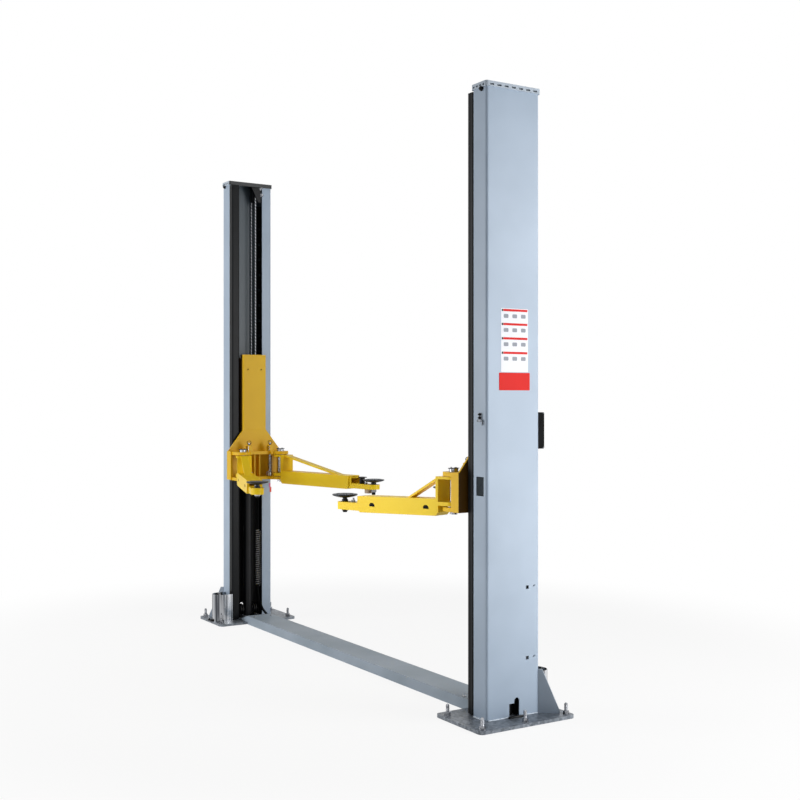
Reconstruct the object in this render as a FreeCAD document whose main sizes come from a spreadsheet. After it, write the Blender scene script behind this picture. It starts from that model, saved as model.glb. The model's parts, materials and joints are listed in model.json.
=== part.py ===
import FreeCAD, Part
import Sketcher
import math
import os

# Two post car lift. X runs from column to column, Y along the car, Z up.
# The origin is on the floor, midway between the two columns. The right column
# stands at +X, the left one at -X, and every length is in millimetres.

DIMENSIONS = {
    # the pair of columns
    "lip_span": 2676,
    "web_width": 293,
    "flange_depth": 105,
    "wall": 6,
    "opening": 164,
    "bend_radius": 12,
    "overall_height": 2824,
    # the castellated cap on each column
    "cap_plate": 5,
    "cap_skirt": 24,
    "cap_wall": 5,
    "cap_slot_width": 22,
    "cap_slot_height": 8,
    "cap_slot_pitch": 40,
    "cap_slot_count": 7,
    "cap_end_width": 12,
    "cap_end_pitch": 24,
    "cap_end_count": 4,
    "seat_gap": 0.3,
    # base plates, anchors, corner gussets and the bright shrouds
    "plate_thickness": 15,
    "plate_depth": 524,
    "plate_inner": 128,
    "plate_outer": 117,
    "plate_corner": 24,
    "anchor_edge": 31,
    "anchor_radius": 7.5,
    "anchor_hole": 8.5,
    "anchor_top": 66,
    "anchor_nut_flats": 24,
    "anchor_nut_height": 13,
    "washer_radius": 15,
    "washer_thickness": 3,
    "gusset_reach": 92,
    "gusset_height": 195,
    "gusset_lip": 14,
    "gusset_thickness": 10,
    "shroud_radius": 56,
    "shroud_wall": 3,
    "shroud_height": 170,
    "shroud_set_in": 7,
    # cut-outs in the columns
    "foot_hole_low": -22,
    "foot_hole_high": 34,
    "foot_hole_step": 60,
    "foot_hole_top": 84,
    "window_from_web": 21,
    "window_width": 56,
    "window_bottom": 999,
    "window_height": 85,
    "clip_hole": 16,
    "clip_first": 585,
    "clip_second": 269,
    "clip_inner": 80,
    "clip_outer": 117,
    # rubber door guard
    "guard_reach": 40,
    "guard_width": 52,
    "guard_groove": 4,
    "guard_round": 9,
    "guard_bore": 6.5,
    "guard_foot": 20,
    "guard_top": 2795,
    # floor cover
    "cover_half": 81,
    "cover_height": 52,
    "cover_sheet": 3,
    "cover_top_end": 1212,
    "cover_side_end": 1326,
    # carriage
    "face_stand_off": 63,
    "face_thickness": 12,
    "post_half": 81,
    "post_fold": 8,
    "post_top": 1711,
    "post_hole_y": 46,
    "post_hole_z": 1616,
    "post_hole": 5,
    "flare_top": 1228,
    "flare_bottom": 1098,
    "flare_half": 181,
    "carriage_bottom": 917,
    "post_flange": 10,
    "post_flange_depth": 26,
    "rail_inner": 62,
    "rail_wall": 10,
    "rail_outer": 96,
    "rail_lip_gap": 8,
    "rail_depth": 44,
    "rail_bottom": 1000,
    "rail_top": 1690,
    "lug_bottom": 1075,
    "lug_thickness": 19,
    "lug_low_bottom": 915,
    "lug_low_thickness": 18,
    "ear_radius": 50,
    "pivot_x": 1166,
    "pivot_y": 130,
    "lug_recess_x": 1196,
    "lug_recess_half": 66,
    "end_plate_depth": 49,
    "end_plate": 12,
    "end_plate_proud": 6,
    "end_gusset_top": 1098,
    "rib_offset": 17,
    "rib_thickness": 8,
    "rib_depth": 40,
    "slider_gap": 0.5,
    "slider_depth": 48,
    "slider_height": 70,
    # pivot pins and arm locks
    "pin_radius": 18,
    "pin_head": 22,
    "pin_head_height": 15,
    "pin_bottom": 899,
    "thrust_radius": 30,
    "running_gap": 0.08,
    "lock_x": 1200,
    "lock_y": 73,
    "lock_rod": 6,
    "lock_top": 1150,
    "lock_block": 13,
    "lock_block_height": 20,
    "lock_bottom": 938,
    "lock_guide": 24,
    "lock_guide_height": 40,
    "lock_guide_wall": 5,
    # swinging arms
    "beam_bottom": 892,
    "beam_height": 79,
    "front_fall": 16,
    "beam_half": 45,
    "beam_wall": 6,
    "beam_chamfer": 16,
    "root_plate_at": 57,
    "root_plate": 14,
    "fork_top": 1072,
    "fork_top_thickness": 12,
    "fork_low_bottom": 938,
    "fork_low_thickness": 18,
    "fork_ear": 45,
    "short_reach": 560,
    "long_reach": 706,
    "short_brace": 263,
    "long_brace": 605,
    "brace_half": 22,
    "brace_thickness": 11,
    "slot_near": 129,
    "slot_far_back": 95,
    "slot_length": 34,
    "slot_height": 18,
    # telescopic inner arms and pads
    "slide_gap": 2,
    "slide_seat": 0.3,
    "inner_start": 135,
    "short_tongue": 125,
    "right_rear_tongue": 120,
    "left_rear_tongue": 160,
    "short_tongue_thickness": 37,
    "long_tongue_thickness": 28,
    "tongue_tip": 36,
    "left_rear_out": 15,
    "pad_screw": 12,
    "pad_screw_bottom": 866,
    "pad_collar": 16,
    "pad_collar_height": 10,
    "pad_bowl_bottom": 939,
    "pad_bowl_radius": 26,
    "pad_rim_low": 950,
    "pad_rim_high": 956,
    "pad_radius": 63,
    "pad_dish_radius": 56,
    "pad_dish_depth": 3,
    # swing of each arm at rest, in degrees from the line between the columns
    "front_angle": 17.4,
    "left_rear_angle": 12,
    "right_rear_angle": 16,
    # hydraulic cylinder and its rod
    "cylinder_x": 1386,
    "cylinder_radius": 30,
    "cylinder_bore": 24,
    "cylinder_top": 1120,
    "gland_height": 40,
    "gland_radius": 34,
    "cylinder_floor": 20,
    "rod_radius": 20,
    "rod_bottom": 520,
    "rod_top": 1530,
    "piston_height": 40,
    "head_half": 22,
    "head_height": 66,
    "roller_radius": 38,
    "roller_half": 9,
    # equaliser cables and pulleys
    "cable_plane": 46,
    "cable_radius": 4.5,
    "pulley_x": 1395,
    "pulley_pitch": 31,
    "pulley_outer": 39,
    "pulley_half": 8,
    "pulley_bore": 10,
    "top_pulley_z": 2745,
    "base_pulley_z": 62,
    "cable_end": 1180,
    "bracket_plate": 4,
    "bracket_half": 24,
    "hanger_front": 1352,
    "hanger_low": 2705,
    "hanger_top_inner": 4,
    "hanger_top_outer": 118,
    "hanger_low_inner": 60,
    "hanger_low_outer": 110,
    # ladder rack, hose, control box and lock release
    "rack_thickness": 12,
    "rack_inner": 86,
    "rack_width": 36,
    "rack_bottom": 200,
    "rack_top": 2690,
    "rack_slot": 18,
    "rack_pitch": 100,
    "hose_radius": 8,
    "hose_x": 1414,
    "hose_y": 90,
    "hose_run_y": 66,
    "hose_z": 23.3,
    "hose_top": 950,
    "hose_turn_x": 1340,
    "union_height": 46,
    "box_low_x": 1342,
    "box_width": 58,
    "box_depth": 76,
    "box_bottom": 1194,
    "box_height": 174,
    "release_x": 1400,
    "release_z": 1352,
}


class Size:
    """A number together with the sheet formula that gives it."""

    def __init__(self, number, formula):
        self.number = float(number)
        self.formula = formula

    def __add__(self, other):
        other = as_size(other)
        return Size(self.number + other.number, f"({self.formula} + {other.formula})")

    def __sub__(self, other):
        other = as_size(other)
        return Size(self.number - other.number, f"({self.formula} - {other.formula})")

    def __mul__(self, other):
        other = as_size(other)
        return Size(self.number * other.number, f"({self.formula} * {other.formula})")

    def __truediv__(self, other):
        other = as_size(other)
        return Size(self.number / other.number, f"({self.formula} / {other.formula})")

    def __neg__(self):
        return Size(-self.number, f"(0 - {self.formula})")

    def __radd__(self, other):
        return as_size(other) + self

    def __rsub__(self, other):
        return as_size(other) - self

    def __rmul__(self, other):
        return as_size(other) * self


def as_size(value):
    if isinstance(value, Size):
        return value
    return Size(value, f"({value})")


class Sheet:
    """Gives each driving dimension of the sheet as a Size."""

    def __getattr__(self, alias):
        return Size(DIMENSIONS[alias], f"Sizes.{alias}")


d = Sheet()
doc = FreeCAD.newDocument("two_post_lift")
nodes = []


def fill_sheet():
    sheet = doc.addObject("Spreadsheet::Sheet", "Sizes")
    for row, (alias, value) in enumerate(DIMENSIONS.items(), start=1):
        sheet.set(f"A{row}", alias)
        sheet.set(f"B{row}", str(value))
        sheet.setAlias(f"B{row}", alias)
    doc.recompute()


# Every origin plane's normal, as a sign along the world axis it stands on.
PLANE_SIGN = {"XY_Plane": 1, "XZ_Plane": -1, "YZ_Plane": 1}


def new_body(label):
    body = doc.addObject("PartDesign::Body", label)
    body.Label = label
    body.AllowCompound = True
    nodes.append(body)
    return body


def gather(label, members):
    """Hands in several like pieces as one node."""
    group = doc.addObject("Part::Compound", label)
    group.Label = label
    group.Links = members
    for member in members:
        nodes.remove(member)
    nodes.append(group)


def new_sketch(body, plane, start):
    role = f"{plane}_Plane"
    support = next(f for f in body.Origin.OriginFeatures if f.Role == role)
    offset = as_size(start) * PLANE_SIGN[role]
    sketch = body.newObject("Sketcher::SketchObject", f"{body.Name}_sketch")
    sketch.AttachmentSupport = [(support, "")]
    sketch.MapMode = "FlatFace"
    sketch.AttachmentOffset = FreeCAD.Placement(
        FreeCAD.Vector(0, 0, offset.number), FreeCAD.Rotation()
    )
    sketch.setExpression("AttachmentOffset.Base.z", offset.formula)
    return sketch


def pin_point(sketch, geometry, end, point):
    for kind, size in zip(("DistanceX", "DistanceY"), point):
        size = as_size(size)
        index = sketch.addConstraint(
            Sketcher.Constraint(kind, -1, 1, geometry, end, size.number)
        )
        sketch.setExpression(f"Constraints[{index}]", size.formula)


def draw_outline(sketch, points):
    """A closed outline of straight edges, every corner tied to the sheet."""
    corners = [FreeCAD.Vector(as_size(x).number, as_size(y).number, 0) for x, y in points]
    count = len(corners)
    first = sketch.GeometryCount
    for i in range(count):
        sketch.addGeometry(Part.LineSegment(corners[i], corners[(i + 1) % count]), False)
    for i in range(count):
        following = first + (i + 1) % count
        sketch.addConstraint(Sketcher.Constraint("Coincident", first + i, 2, following, 1))
        pin_point(sketch, first + i, 1, points[i])


def draw_circle(sketch, centre, radius):
    radius = as_size(radius)
    middle = FreeCAD.Vector(as_size(centre[0]).number, as_size(centre[1]).number, 0)
    circle = Part.Circle(middle, FreeCAD.Vector(0, 0, 1), radius.number)
    index = sketch.addGeometry(circle, False)
    pin_point(sketch, index, 3, centre)
    size = sketch.addConstraint(Sketcher.Constraint("Radius", index, radius.number))
    sketch.setExpression(f"Constraints[{size}]", radius.formula)


def extrude(body, kind, sketch, length, plane):
    """Pad or pocket from the sketch towards the world axis's positive end."""
    length = as_size(length)
    feature = body.newObject(f"PartDesign::{kind}", f"{body.Name}_{kind}")
    feature.Profile = sketch
    feature.Length = length.number
    feature.setExpression("Length", length.formula)
    outward = PLANE_SIGN[f"{plane}_Plane"] > 0
    feature.Reversed = (not outward) if kind == "Pad" else outward
    return feature


def add_block(body, plane, points, start, length):
    sketch = new_sketch(body, plane, start)
    draw_outline(sketch, points)
    return extrude(body, "Pad", sketch, length, plane)


def cut_block(body, plane, points, start, length):
    sketch = new_sketch(body, plane, start)
    draw_outline(sketch, points)
    return extrude(body, "Pocket", sketch, length, plane)


def add_round(body, plane, centre, radius, start, length):
    sketch = new_sketch(body, plane, start)
    draw_circle(sketch, centre, radius)
    return extrude(body, "Pad", sketch, length, plane)


def cut_round(body, plane, centre, radius, start, length):
    sketch = new_sketch(body, plane, start)
    draw_circle(sketch, centre, radius)
    return extrude(body, "Pocket", sketch, length, plane)


def turn_profile(body, points, centre_x):
    """Revolves a half outline of radius and height about the upright through centre_x."""
    sketch = new_sketch(body, "XZ", as_size(0))
    sketch.setExpression("AttachmentOffset.Base.x", centre_x.formula)
    doc.recompute()
    draw_outline(sketch, points)
    feature = body.newObject("PartDesign::Revolution", f"{body.Name}_turn")
    feature.Profile = sketch
    feature.ReferenceAxis = (sketch, ["V_Axis"])
    feature.Angle = 360
    return feature


def box_outline(x_low, x_high, y_low, y_high):
    return [(x_low, y_low), (x_high, y_low), (x_high, y_high), (x_low, y_high)]


def upright_edges(shape, places, tolerance=0.6):
    """Names of the vertical edges that stand on the given X, Y places."""
    names = []
    for number, edge in enumerate(shape.Edges, start=1):
        ends = [vertex.Point for vertex in edge.Vertexes]
        if len(ends) != 2:
            continue
        if abs(ends[0].x - ends[1].x) > tolerance or abs(ends[0].y - ends[1].y) > tolerance:
            continue
        for x, y in places:
            if abs(ends[0].x - x) < tolerance and abs(ends[0].y - y) < tolerance:
                names.append(f"Edge{number}")
    return names


def round_upright(body, places, radius):
    doc.recompute()
    radius = as_size(radius)
    spots = [(as_size(x).number, as_size(y).number) for x, y in places]
    base = body.Tip
    fillet = body.newObject("PartDesign::Fillet", f"{body.Name}_fillet")
    fillet.Base = (base, upright_edges(base.Shape, spots))
    fillet.Radius = radius.number
    fillet.setExpression("Radius", radius.formula)
    return fillet


def toward(side, low, high):
    """Start and length of a span in X from low to high, on either side."""
    low = as_size(low)
    high = as_size(high)
    return (low if side > 0 else -high), high - low


SIDES = {"right": 1, "left": -1}

lip_plane = d.lip_span / 2
web_face = lip_plane + d.flange_depth
web_half = d.web_width / 2
column_top = d.overall_height - d.cap_plate
plate_in = lip_plane - d.plate_inner
plate_out = web_face + d.plate_outer
plate_half = d.plate_depth / 2
face_front = lip_plane - d.face_stand_off
face_back = face_front + d.face_thickness


def make_column(name, side):
    body = new_body(f"column_{name}")
    half_opening = d.opening / 2
    inner_lip = lip_plane + d.wall
    inner_web = web_face - d.wall
    inner_half = web_half - d.wall
    outline = [
        (lip_plane, -half_opening), (lip_plane, -web_half), (web_face, -web_half),
        (web_face, web_half), (lip_plane, web_half), (lip_plane, half_opening),
        (inner_lip, half_opening), (inner_lip, inner_half), (inner_web, inner_half),
        (inner_web, -inner_half), (inner_lip, -inner_half), (inner_lip, -half_opening),
    ]
    outline = [(side * x, y) for x, y in outline]
    add_block(body, "XY", outline, d.plate_thickness, column_top - d.plate_thickness)
    corners = [(side * x, y) for x in (lip_plane, web_face) for y in (-web_half, web_half)]
    round_upright(body, corners, d.bend_radius)
    insides = [(side * x, y) for x in (inner_lip, inner_web) for y in (-inner_half, inner_half)]
    round_upright(body, insides, d.bend_radius - d.wall)

    start, length = toward(side, inner_web - 1, web_face + 1)
    foot = d.plate_thickness
    step_y = (d.foot_hole_low + d.foot_hole_high) / 2
    step_z = foot + d.foot_hole_step
    top_z = foot + d.foot_hole_top
    bevel = (d.foot_hole_high - step_y) / 3
    foot_hole = [
        (d.foot_hole_low, foot - 1), (d.foot_hole_high, foot - 1),
        (d.foot_hole_high, top_z - bevel), (d.foot_hole_high - bevel, top_z),
        (step_y + bevel, top_z), (step_y, top_z - bevel),
        (step_y, step_z), (d.foot_hole_low, step_z),
    ]
    cut_block(body, "YZ", [(side * y, z) for y, z in foot_hole], start, length)
    for height in (d.clip_first, d.clip_second):
        half = d.clip_hole / 2
        square = box_outline(d.clip_inner - half, d.clip_inner + half, height - half, height + half)
        slot = [
            (d.clip_outer - half, height), (d.clip_outer, height),
            (d.clip_outer + half, height + half), (d.clip_outer, height + half),
        ]
        for points in (square, slot):
            cut_block(body, "YZ", [(side * y, z) for y, z in points], start, length)

    window_out = web_face - d.window_from_web
    window_in = window_out - d.window_width
    window = box_outline(window_in, window_out, d.window_bottom, d.window_bottom + d.window_height)
    low = -web_half - 1 if side > 0 else web_half - d.wall - 1
    cut_block(body, "XZ", [(side * x, z) for x, z in window], low, d.wall + 2)


def make_cap(name, side):
    body = new_body(f"cap_{name}")
    clear = d.seat_gap
    out = clear + d.cap_wall
    top = d.overall_height
    outer = box_outline(side * (lip_plane - out), side * (web_face + out), -web_half - out, web_half + out)
    inner = box_outline(
        side * (lip_plane - clear), side * (web_face + clear), -web_half - clear, web_half + clear
    )
    add_block(body, "XY", outer, top - d.cap_skirt, d.cap_skirt)
    cut_block(body, "XY", inner, top - d.cap_skirt - 1, d.cap_skirt + 1 - d.cap_plate)
    corners = [
        (side * x, y)
        for x in (lip_plane - out, web_face + out)
        for y in (-web_half - out, web_half + out)
    ]
    round_upright(body, corners, d.bend_radius)
    slot_low = top - d.cap_skirt + (d.cap_skirt - d.cap_plate - d.cap_slot_height) / 2
    slot_high = slot_low + d.cap_slot_height
    half = d.cap_slot_width / 2
    start, length = toward(side, web_face - 1, web_face + out + 1)
    rows = int(DIMENSIONS["cap_slot_count"])
    sketch = new_sketch(body, "YZ", start)
    for index in range(rows):
        middle = d.cap_slot_pitch * (index - (rows - 1) / 2)
        draw_outline(sketch, box_outline(middle - half, middle + half, slot_low, slot_high))
    extrude(body, "Pocket", sketch, length, "YZ")
    end_rows = int(DIMENSIONS["cap_end_count"])
    half = d.cap_end_width / 2
    middle_x = (lip_plane + web_face) / 2
    sketch = new_sketch(body, "XZ", -web_half - out - 1)
    for index in range(end_rows):
        middle = side * (middle_x + d.cap_end_pitch * (index - (end_rows - 1) / 2))
        draw_outline(sketch, box_outline(middle - half, middle + half, slot_low, slot_high))
    extrude(body, "Pocket", sketch, 2 * (web_half + out + 1), "XZ")


def anchor_places(side):
    outer = plate_out - d.anchor_edge
    inner = plate_in + d.anchor_edge + d.plate_corner
    spread = plate_half - d.anchor_edge
    places = [(outer, spread), (outer, -spread), (outer, as_size(0)), (inner, spread), (inner, -spread)]
    return [(side * x, y) for x, y in places]


def make_base_plate(name, side):
    body = new_body(f"base_plate_{name}")
    outline = box_outline(side * plate_in, side * plate_out, -plate_half, plate_half)
    add_block(body, "XY", outline, as_size(0), d.plate_thickness)
    corners = [(side * x, y) for x in (plate_in, plate_out) for y in (-plate_half, plate_half)]
    round_upright(body, corners, d.plate_corner)
    sketch = new_sketch(body, "XY", as_size(-1))
    for place in anchor_places(side):
        draw_circle(sketch, place, d.anchor_hole)
    extrude(body, "Pocket", sketch, d.plate_thickness + 2, "XY")


def make_anchor(name, place):
    """One expansion anchor: stud with a pointed tip, hex nut and washer."""
    x, y = place
    shank = doc.addObject("Part::Cylinder", f"{name}_shank")
    shank.setExpression("Radius", d.anchor_radius.formula)
    tip_height = d.anchor_radius / 2
    shank.setExpression("Height", (d.anchor_top - tip_height).formula)
    tip = doc.addObject("Part::Cone", f"{name}_tip")
    tip.setExpression("Radius1", d.anchor_radius.formula)
    tip.setExpression("Radius2", (d.anchor_radius / 2).formula)
    tip.setExpression("Height", tip_height.formula)
    tip.setExpression("Placement.Base.z", (d.anchor_top - tip_height).formula)
    washer = doc.addObject("Part::Cylinder", f"{name}_washer")
    washer.setExpression("Radius", d.washer_radius.formula)
    washer.setExpression("Height", d.washer_thickness.formula)
    washer.setExpression("Placement.Base.z", d.plate_thickness.formula)
    nut = doc.addObject("Part::Prism", f"{name}_nut")
    nut.Polygon = 6
    nut.setExpression("Circumradius", (d.anchor_nut_flats / math.sqrt(3)).formula)
    nut.setExpression("Height", d.anchor_nut_height.formula)
    nut.setExpression("Placement.Base.z", (d.plate_thickness + d.washer_thickness).formula)
    anchor = doc.addObject("Part::MultiFuse", name)
    anchor.Shapes = [shank, tip, washer, nut]
    anchor.setExpression("Placement.Base.x", as_size(x).formula)
    anchor.setExpression("Placement.Base.y", as_size(y).formula)
    return anchor


def make_anchors():
    anchors = []
    for name, side in SIDES.items():
        for index, place in enumerate(anchor_places(side)):
            anchors.append(make_anchor(f"anchor_{name}_{index}", place))
    nodes.extend(anchors)
    gather("anchor_bolts", anchors)


def make_base_gusset(name, side):
    """A corner gusset that runs out diagonally from the column's outer corner."""
    body = new_body(f"base_gusset_{name}")
    half = d.gusset_thickness / 2
    round_back = d.bend_radius * (math.sqrt(2) - 1)
    low = d.plate_thickness
    start = d.seat_gap - round_back
    outline = [
        (start, low), (d.gusset_reach, low), (d.gusset_reach, low + d.gusset_lip),
        (d.gusset_lip, low + d.gusset_height), (start, low + d.gusset_height),
    ]
    add_block(body, "XZ", outline, -half, d.gusset_thickness)
    turn = 45 if side > 0 else 225
    corner = FreeCAD.Vector((side * web_face).number, (side * web_half).number, 0)
    body.Placement = FreeCAD.Placement(corner, FreeCAD.Rotation(FreeCAD.Vector(0, 0, 1), turn))
    return body


def make_shroud(name, side):
    """A rolled bright shroud that stands against the flange, open at the top."""
    body = new_body(f"pulley_shroud_{name}")
    middle_x = side * (lip_plane + d.shroud_set_in)
    back = web_half + d.seat_gap
    middle_y = back + d.shroud_radius
    low = d.plate_thickness
    hollow = d.shroud_radius - d.shroud_wall
    add_round(body, "XY", (middle_x, side * middle_y), d.shroud_radius, low, d.shroud_height)
    block = box_outline(
        middle_x - d.shroud_radius, middle_x + d.shroud_radius, side * back, side * middle_y
    )
    add_block(body, "XY", block, low, d.shroud_height)
    cut_round(body, "XY", (middle_x, side * middle_y), hollow, low - 1, d.shroud_height + 2)
    gap = box_outline(middle_x - hollow, middle_x + hollow, side * (back - 1), side * middle_y)
    cut_block(body, "XY", gap, low - 1, d.shroud_height + 2)
    return body


def make_guard(name, side):
    body = new_body(f"door_guard_{name}")
    seat = lip_plane - d.seat_gap
    waist = seat - d.guard_reach / 2
    tip = seat - d.guard_reach
    front = -web_half
    back = -web_half + d.guard_width
    half_groove = d.guard_groove / 2
    outline = [
        (seat, front), (waist + half_groove, front), (waist, front + d.guard_groove),
        (waist - half_groove, front), (tip, front), (tip, back),
        (waist - half_groove, back), (waist, back - d.guard_groove),
        (waist + half_groove, back), (seat, back),
    ]
    outline = [(side * x, y) for x, y in outline]
    add_block(body, "XY", outline, d.guard_foot, d.guard_top - d.guard_foot)
    round_upright(body, [(side * tip, front), (side * tip, back)], d.guard_round)
    sketch = new_sketch(body, "XY", d.guard_foot - 1)
    for x in (seat - d.guard_reach / 4, tip + d.guard_reach / 4):
        draw_circle(sketch, (side * x, (front + back) / 2), d.guard_bore)
    extrude(body, "Pocket", sketch, d.guard_top - d.guard_foot + 2, "XY")
    return body


def make_floor_cover():
    body = new_body("floor_cover")
    rest = d.plate_thickness + d.seat_gap
    step = plate_in - 2
    outline = [
        (-step, 0), (step, 0), (step, rest), (d.cover_side_end, rest),
        (d.cover_top_end, d.cover_height), (-d.cover_top_end, d.cover_height),
        (-d.cover_side_end, rest), (-step, rest),
    ]
    add_block(body, "XZ", outline, -d.cover_half, 2 * d.cover_half)
    half = d.cover_half - d.cover_sheet
    hollow = box_outline(-half, half, as_size(-1), d.cover_height - d.cover_sheet)
    reach = d.cover_side_end + 1
    cut_block(body, "YZ", hollow, -reach, 2 * reach)


def make_carriage(name, side):
    body = new_body(f"carriage_{name}")
    start, thick = toward(side, face_front, face_back)
    face = [
        (-d.post_half, d.post_top), (-d.post_half, d.flare_top), (-d.flare_half, d.flare_bottom),
        (-d.flare_half, d.carriage_bottom), (d.flare_half, d.carriage_bottom),
        (d.flare_half, d.flare_bottom), (d.post_half, d.flare_top), (d.post_half, d.post_top),
    ]
    add_block(body, "YZ", face, start, thick)
    flange_low = d.flare_top
    for hand in (-1, 1):
        flange = box_outline(
            side * face_front, side * (face_back + d.post_flange_depth),
            hand * d.post_half, hand * (d.post_half - d.post_flange),
        )
        add_block(body, "XY", flange, flange_low, d.post_top - flange_low)
    folds = [(side * face_front, hand * d.post_half) for hand in (-1, 1)]
    round_upright(body, folds, d.post_fold)
    for hand in (-1, 1):
        rail_front = lip_plane + d.wall + d.rail_lip_gap
        rail_back = lip_plane + d.wall + d.rail_depth
        rail = [
            (face_front, d.rail_inner), (rail_back, d.rail_inner), (rail_back, d.rail_outer),
            (rail_front, d.rail_outer), (rail_front, d.rail_inner + d.rail_wall),
            (face_front, d.rail_inner + d.rail_wall),
        ]
        rail = [(side * x, hand * y) for x, y in rail]
        add_block(body, "XY", rail, d.rail_bottom, d.rail_top - d.rail_bottom)
        end_back = d.flare_half + d.end_plate_proud
        end_front = end_back - d.end_plate
        end = [
            (face_back, d.carriage_bottom), (face_front - d.end_plate_depth, d.carriage_bottom),
            (face_front - d.end_plate_depth, d.lug_bottom + d.lug_thickness),
            (face_front, d.end_gusset_top), (face_back, d.end_gusset_top),
        ]
        end = [(side * x, z) for x, z in end]
        add_block(body, "XZ", end, end_front if hand > 0 else -end_back, d.end_plate)
        rib_low = hand * d.rib_offset - d.rib_thickness / 2
        rib = box_outline(
            side * face_front, side * (face_front - d.rib_depth), d.lug_low_bottom, d.lug_bottom
        )
        add_block(body, "XZ", rib, rib_low, d.rib_thickness)
        hole = (hand * d.post_hole_y, d.post_hole_z)
        cut_round(body, "YZ", hole, d.post_hole, start - 1, thick + 2)
    for low, thickness in ((d.lug_bottom, d.lug_thickness), (d.lug_low_bottom, d.lug_low_thickness)):
        side_y = d.pivot_y + d.ear_radius
        lug = [
            (face_front, -side_y), (d.pivot_x, -side_y), (d.pivot_x, -d.lug_recess_half),
            (d.lug_recess_x, -d.lug_recess_half), (d.lug_recess_x, d.lug_recess_half),
            (d.pivot_x, d.lug_recess_half), (d.pivot_x, side_y), (face_front, side_y),
        ]
        add_block(body, "XY", [(side * x, y) for x, y in lug], low, thickness)
        for hand in (-1, 1):
            ear = (side * d.pivot_x, hand * d.pivot_y)
            add_round(body, "XY", ear, d.ear_radius, low, thickness)
            cut_round(body, "XY", ear, d.pin_radius + d.running_gap, low - 1, thickness + 2)
    guide_low = d.lug_bottom + d.lug_thickness
    for hand in (-1, 1):
        middle = (side * d.lock_x, hand * d.lock_y)
        guide = box_outline(
            middle[0] - d.lock_guide, middle[0] + d.lock_guide,
            middle[1] - d.lock_guide / 2, middle[1] + d.lock_guide / 2,
        )
        add_block(body, "XY", guide, guide_low, d.lock_guide_height)
        hollow = box_outline(
            middle[0] - d.lock_guide + d.lock_guide_wall, middle[0] + d.lock_guide - d.lock_guide_wall,
            guide_low, guide_low + d.lock_guide_height - d.lock_guide_wall,
        )
        cut_block(body, "XZ", hollow, middle[1] - d.lock_guide, 2 * d.lock_guide)
        clear = d.lock_rod + d.running_gap
        cut_round(body, "XY", middle, clear, d.lug_bottom - 1, d.lug_thickness + d.lock_guide_height + 2)


def make_sliders(name, side):
    body = new_body(f"slide_blocks_{name}")
    front = lip_plane + d.wall + d.slider_gap
    outer = web_half - d.wall - d.slider_gap
    bevel = d.bend_radius - d.wall
    for hand in (-1, 1):
        block = [
            (front, d.rail_outer), (front + d.slider_depth, d.rail_outer),
            (front + d.slider_depth, outer), (front + bevel, outer), (front, outer - bevel),
        ]
        block = [(side * x, hand * y) for x, y in block]
        for low in (d.rail_bottom, d.rail_top - d.slider_height):
            add_block(body, "XY", block, low, d.slider_height)


def make_pins(name, side):
    body = new_body(f"arm_pins_{name}")
    shelf = d.lug_bottom + d.lug_thickness
    for hand in (-1, 1):
        middle = (side * d.pivot_x, hand * d.pivot_y)
        add_round(body, "XY", middle, d.pin_radius, d.pin_bottom, shelf - d.pin_bottom)
        add_round(body, "XY", middle, d.pin_head, shelf, d.pin_head_height)
        washer_low = d.lug_low_bottom + d.lug_low_thickness
        washer_high = d.fork_low_bottom - d.seat_gap
        add_round(body, "XY", middle, d.thrust_radius, washer_low, washer_high - washer_low)


def make_locks(name, side):
    body = new_body(f"arm_locks_{name}")
    for hand in (-1, 1):
        middle = (side * d.lock_x, hand * d.lock_y)
        add_round(body, "XY", middle, d.lock_rod, d.lock_bottom, d.lock_top - d.lock_bottom)
        add_round(body, "XY", middle, d.lock_block, d.lock_bottom, d.lock_block_height)


ARMS = {
    "right_front": (1, -1), "right_rear": (1, 1), "left_front": (-1, -1), "left_rear": (-1, 1),
}


def arm_placement(name):
    """Where an arm built along +X from its pivot lies in the lift."""
    side, end = ARMS[name]
    angle = {
        "right_front": d.front_angle, "left_front": d.front_angle,
        "right_rear": d.right_rear_angle, "left_rear": d.left_rear_angle,
    }[name].number
    turn = 180 - end * angle if side > 0 else end * angle
    pivot = FreeCAD.Vector(side * d.pivot_x.number, end * d.pivot_y.number, 0)
    return FreeCAD.Placement(pivot, FreeCAD.Rotation(FreeCAD.Vector(0, 0, 1), turn))


def arm_sizes(name):
    """An arm's reach, the far end of its brace, its tongue's length and how far it is drawn out."""
    if name.endswith("front"):
        return d.short_reach, d.short_brace, d.short_tongue, as_size(0)
    if name == "left_rear":
        return d.long_reach, d.long_brace, d.left_rear_tongue, d.left_rear_out
    return d.long_reach, d.long_brace, d.right_rear_tongue, as_size(0)


def arm_level(name, height, along):
    """The height of a line of the beam at a distance from the pivot; the short arms fall a little."""
    if not name.endswith("front"):
        return as_size(height)
    return height - d.front_fall * along / d.short_reach


def tongue_heights(name):
    reach, brace_end, tongue, out = arm_sizes(name)
    low = arm_level(name, d.beam_bottom + d.beam_wall + d.slide_seat, reach + out)
    thickness = d.short_tongue_thickness if name.endswith("front") else d.long_tongue_thickness
    return low, thickness


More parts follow.
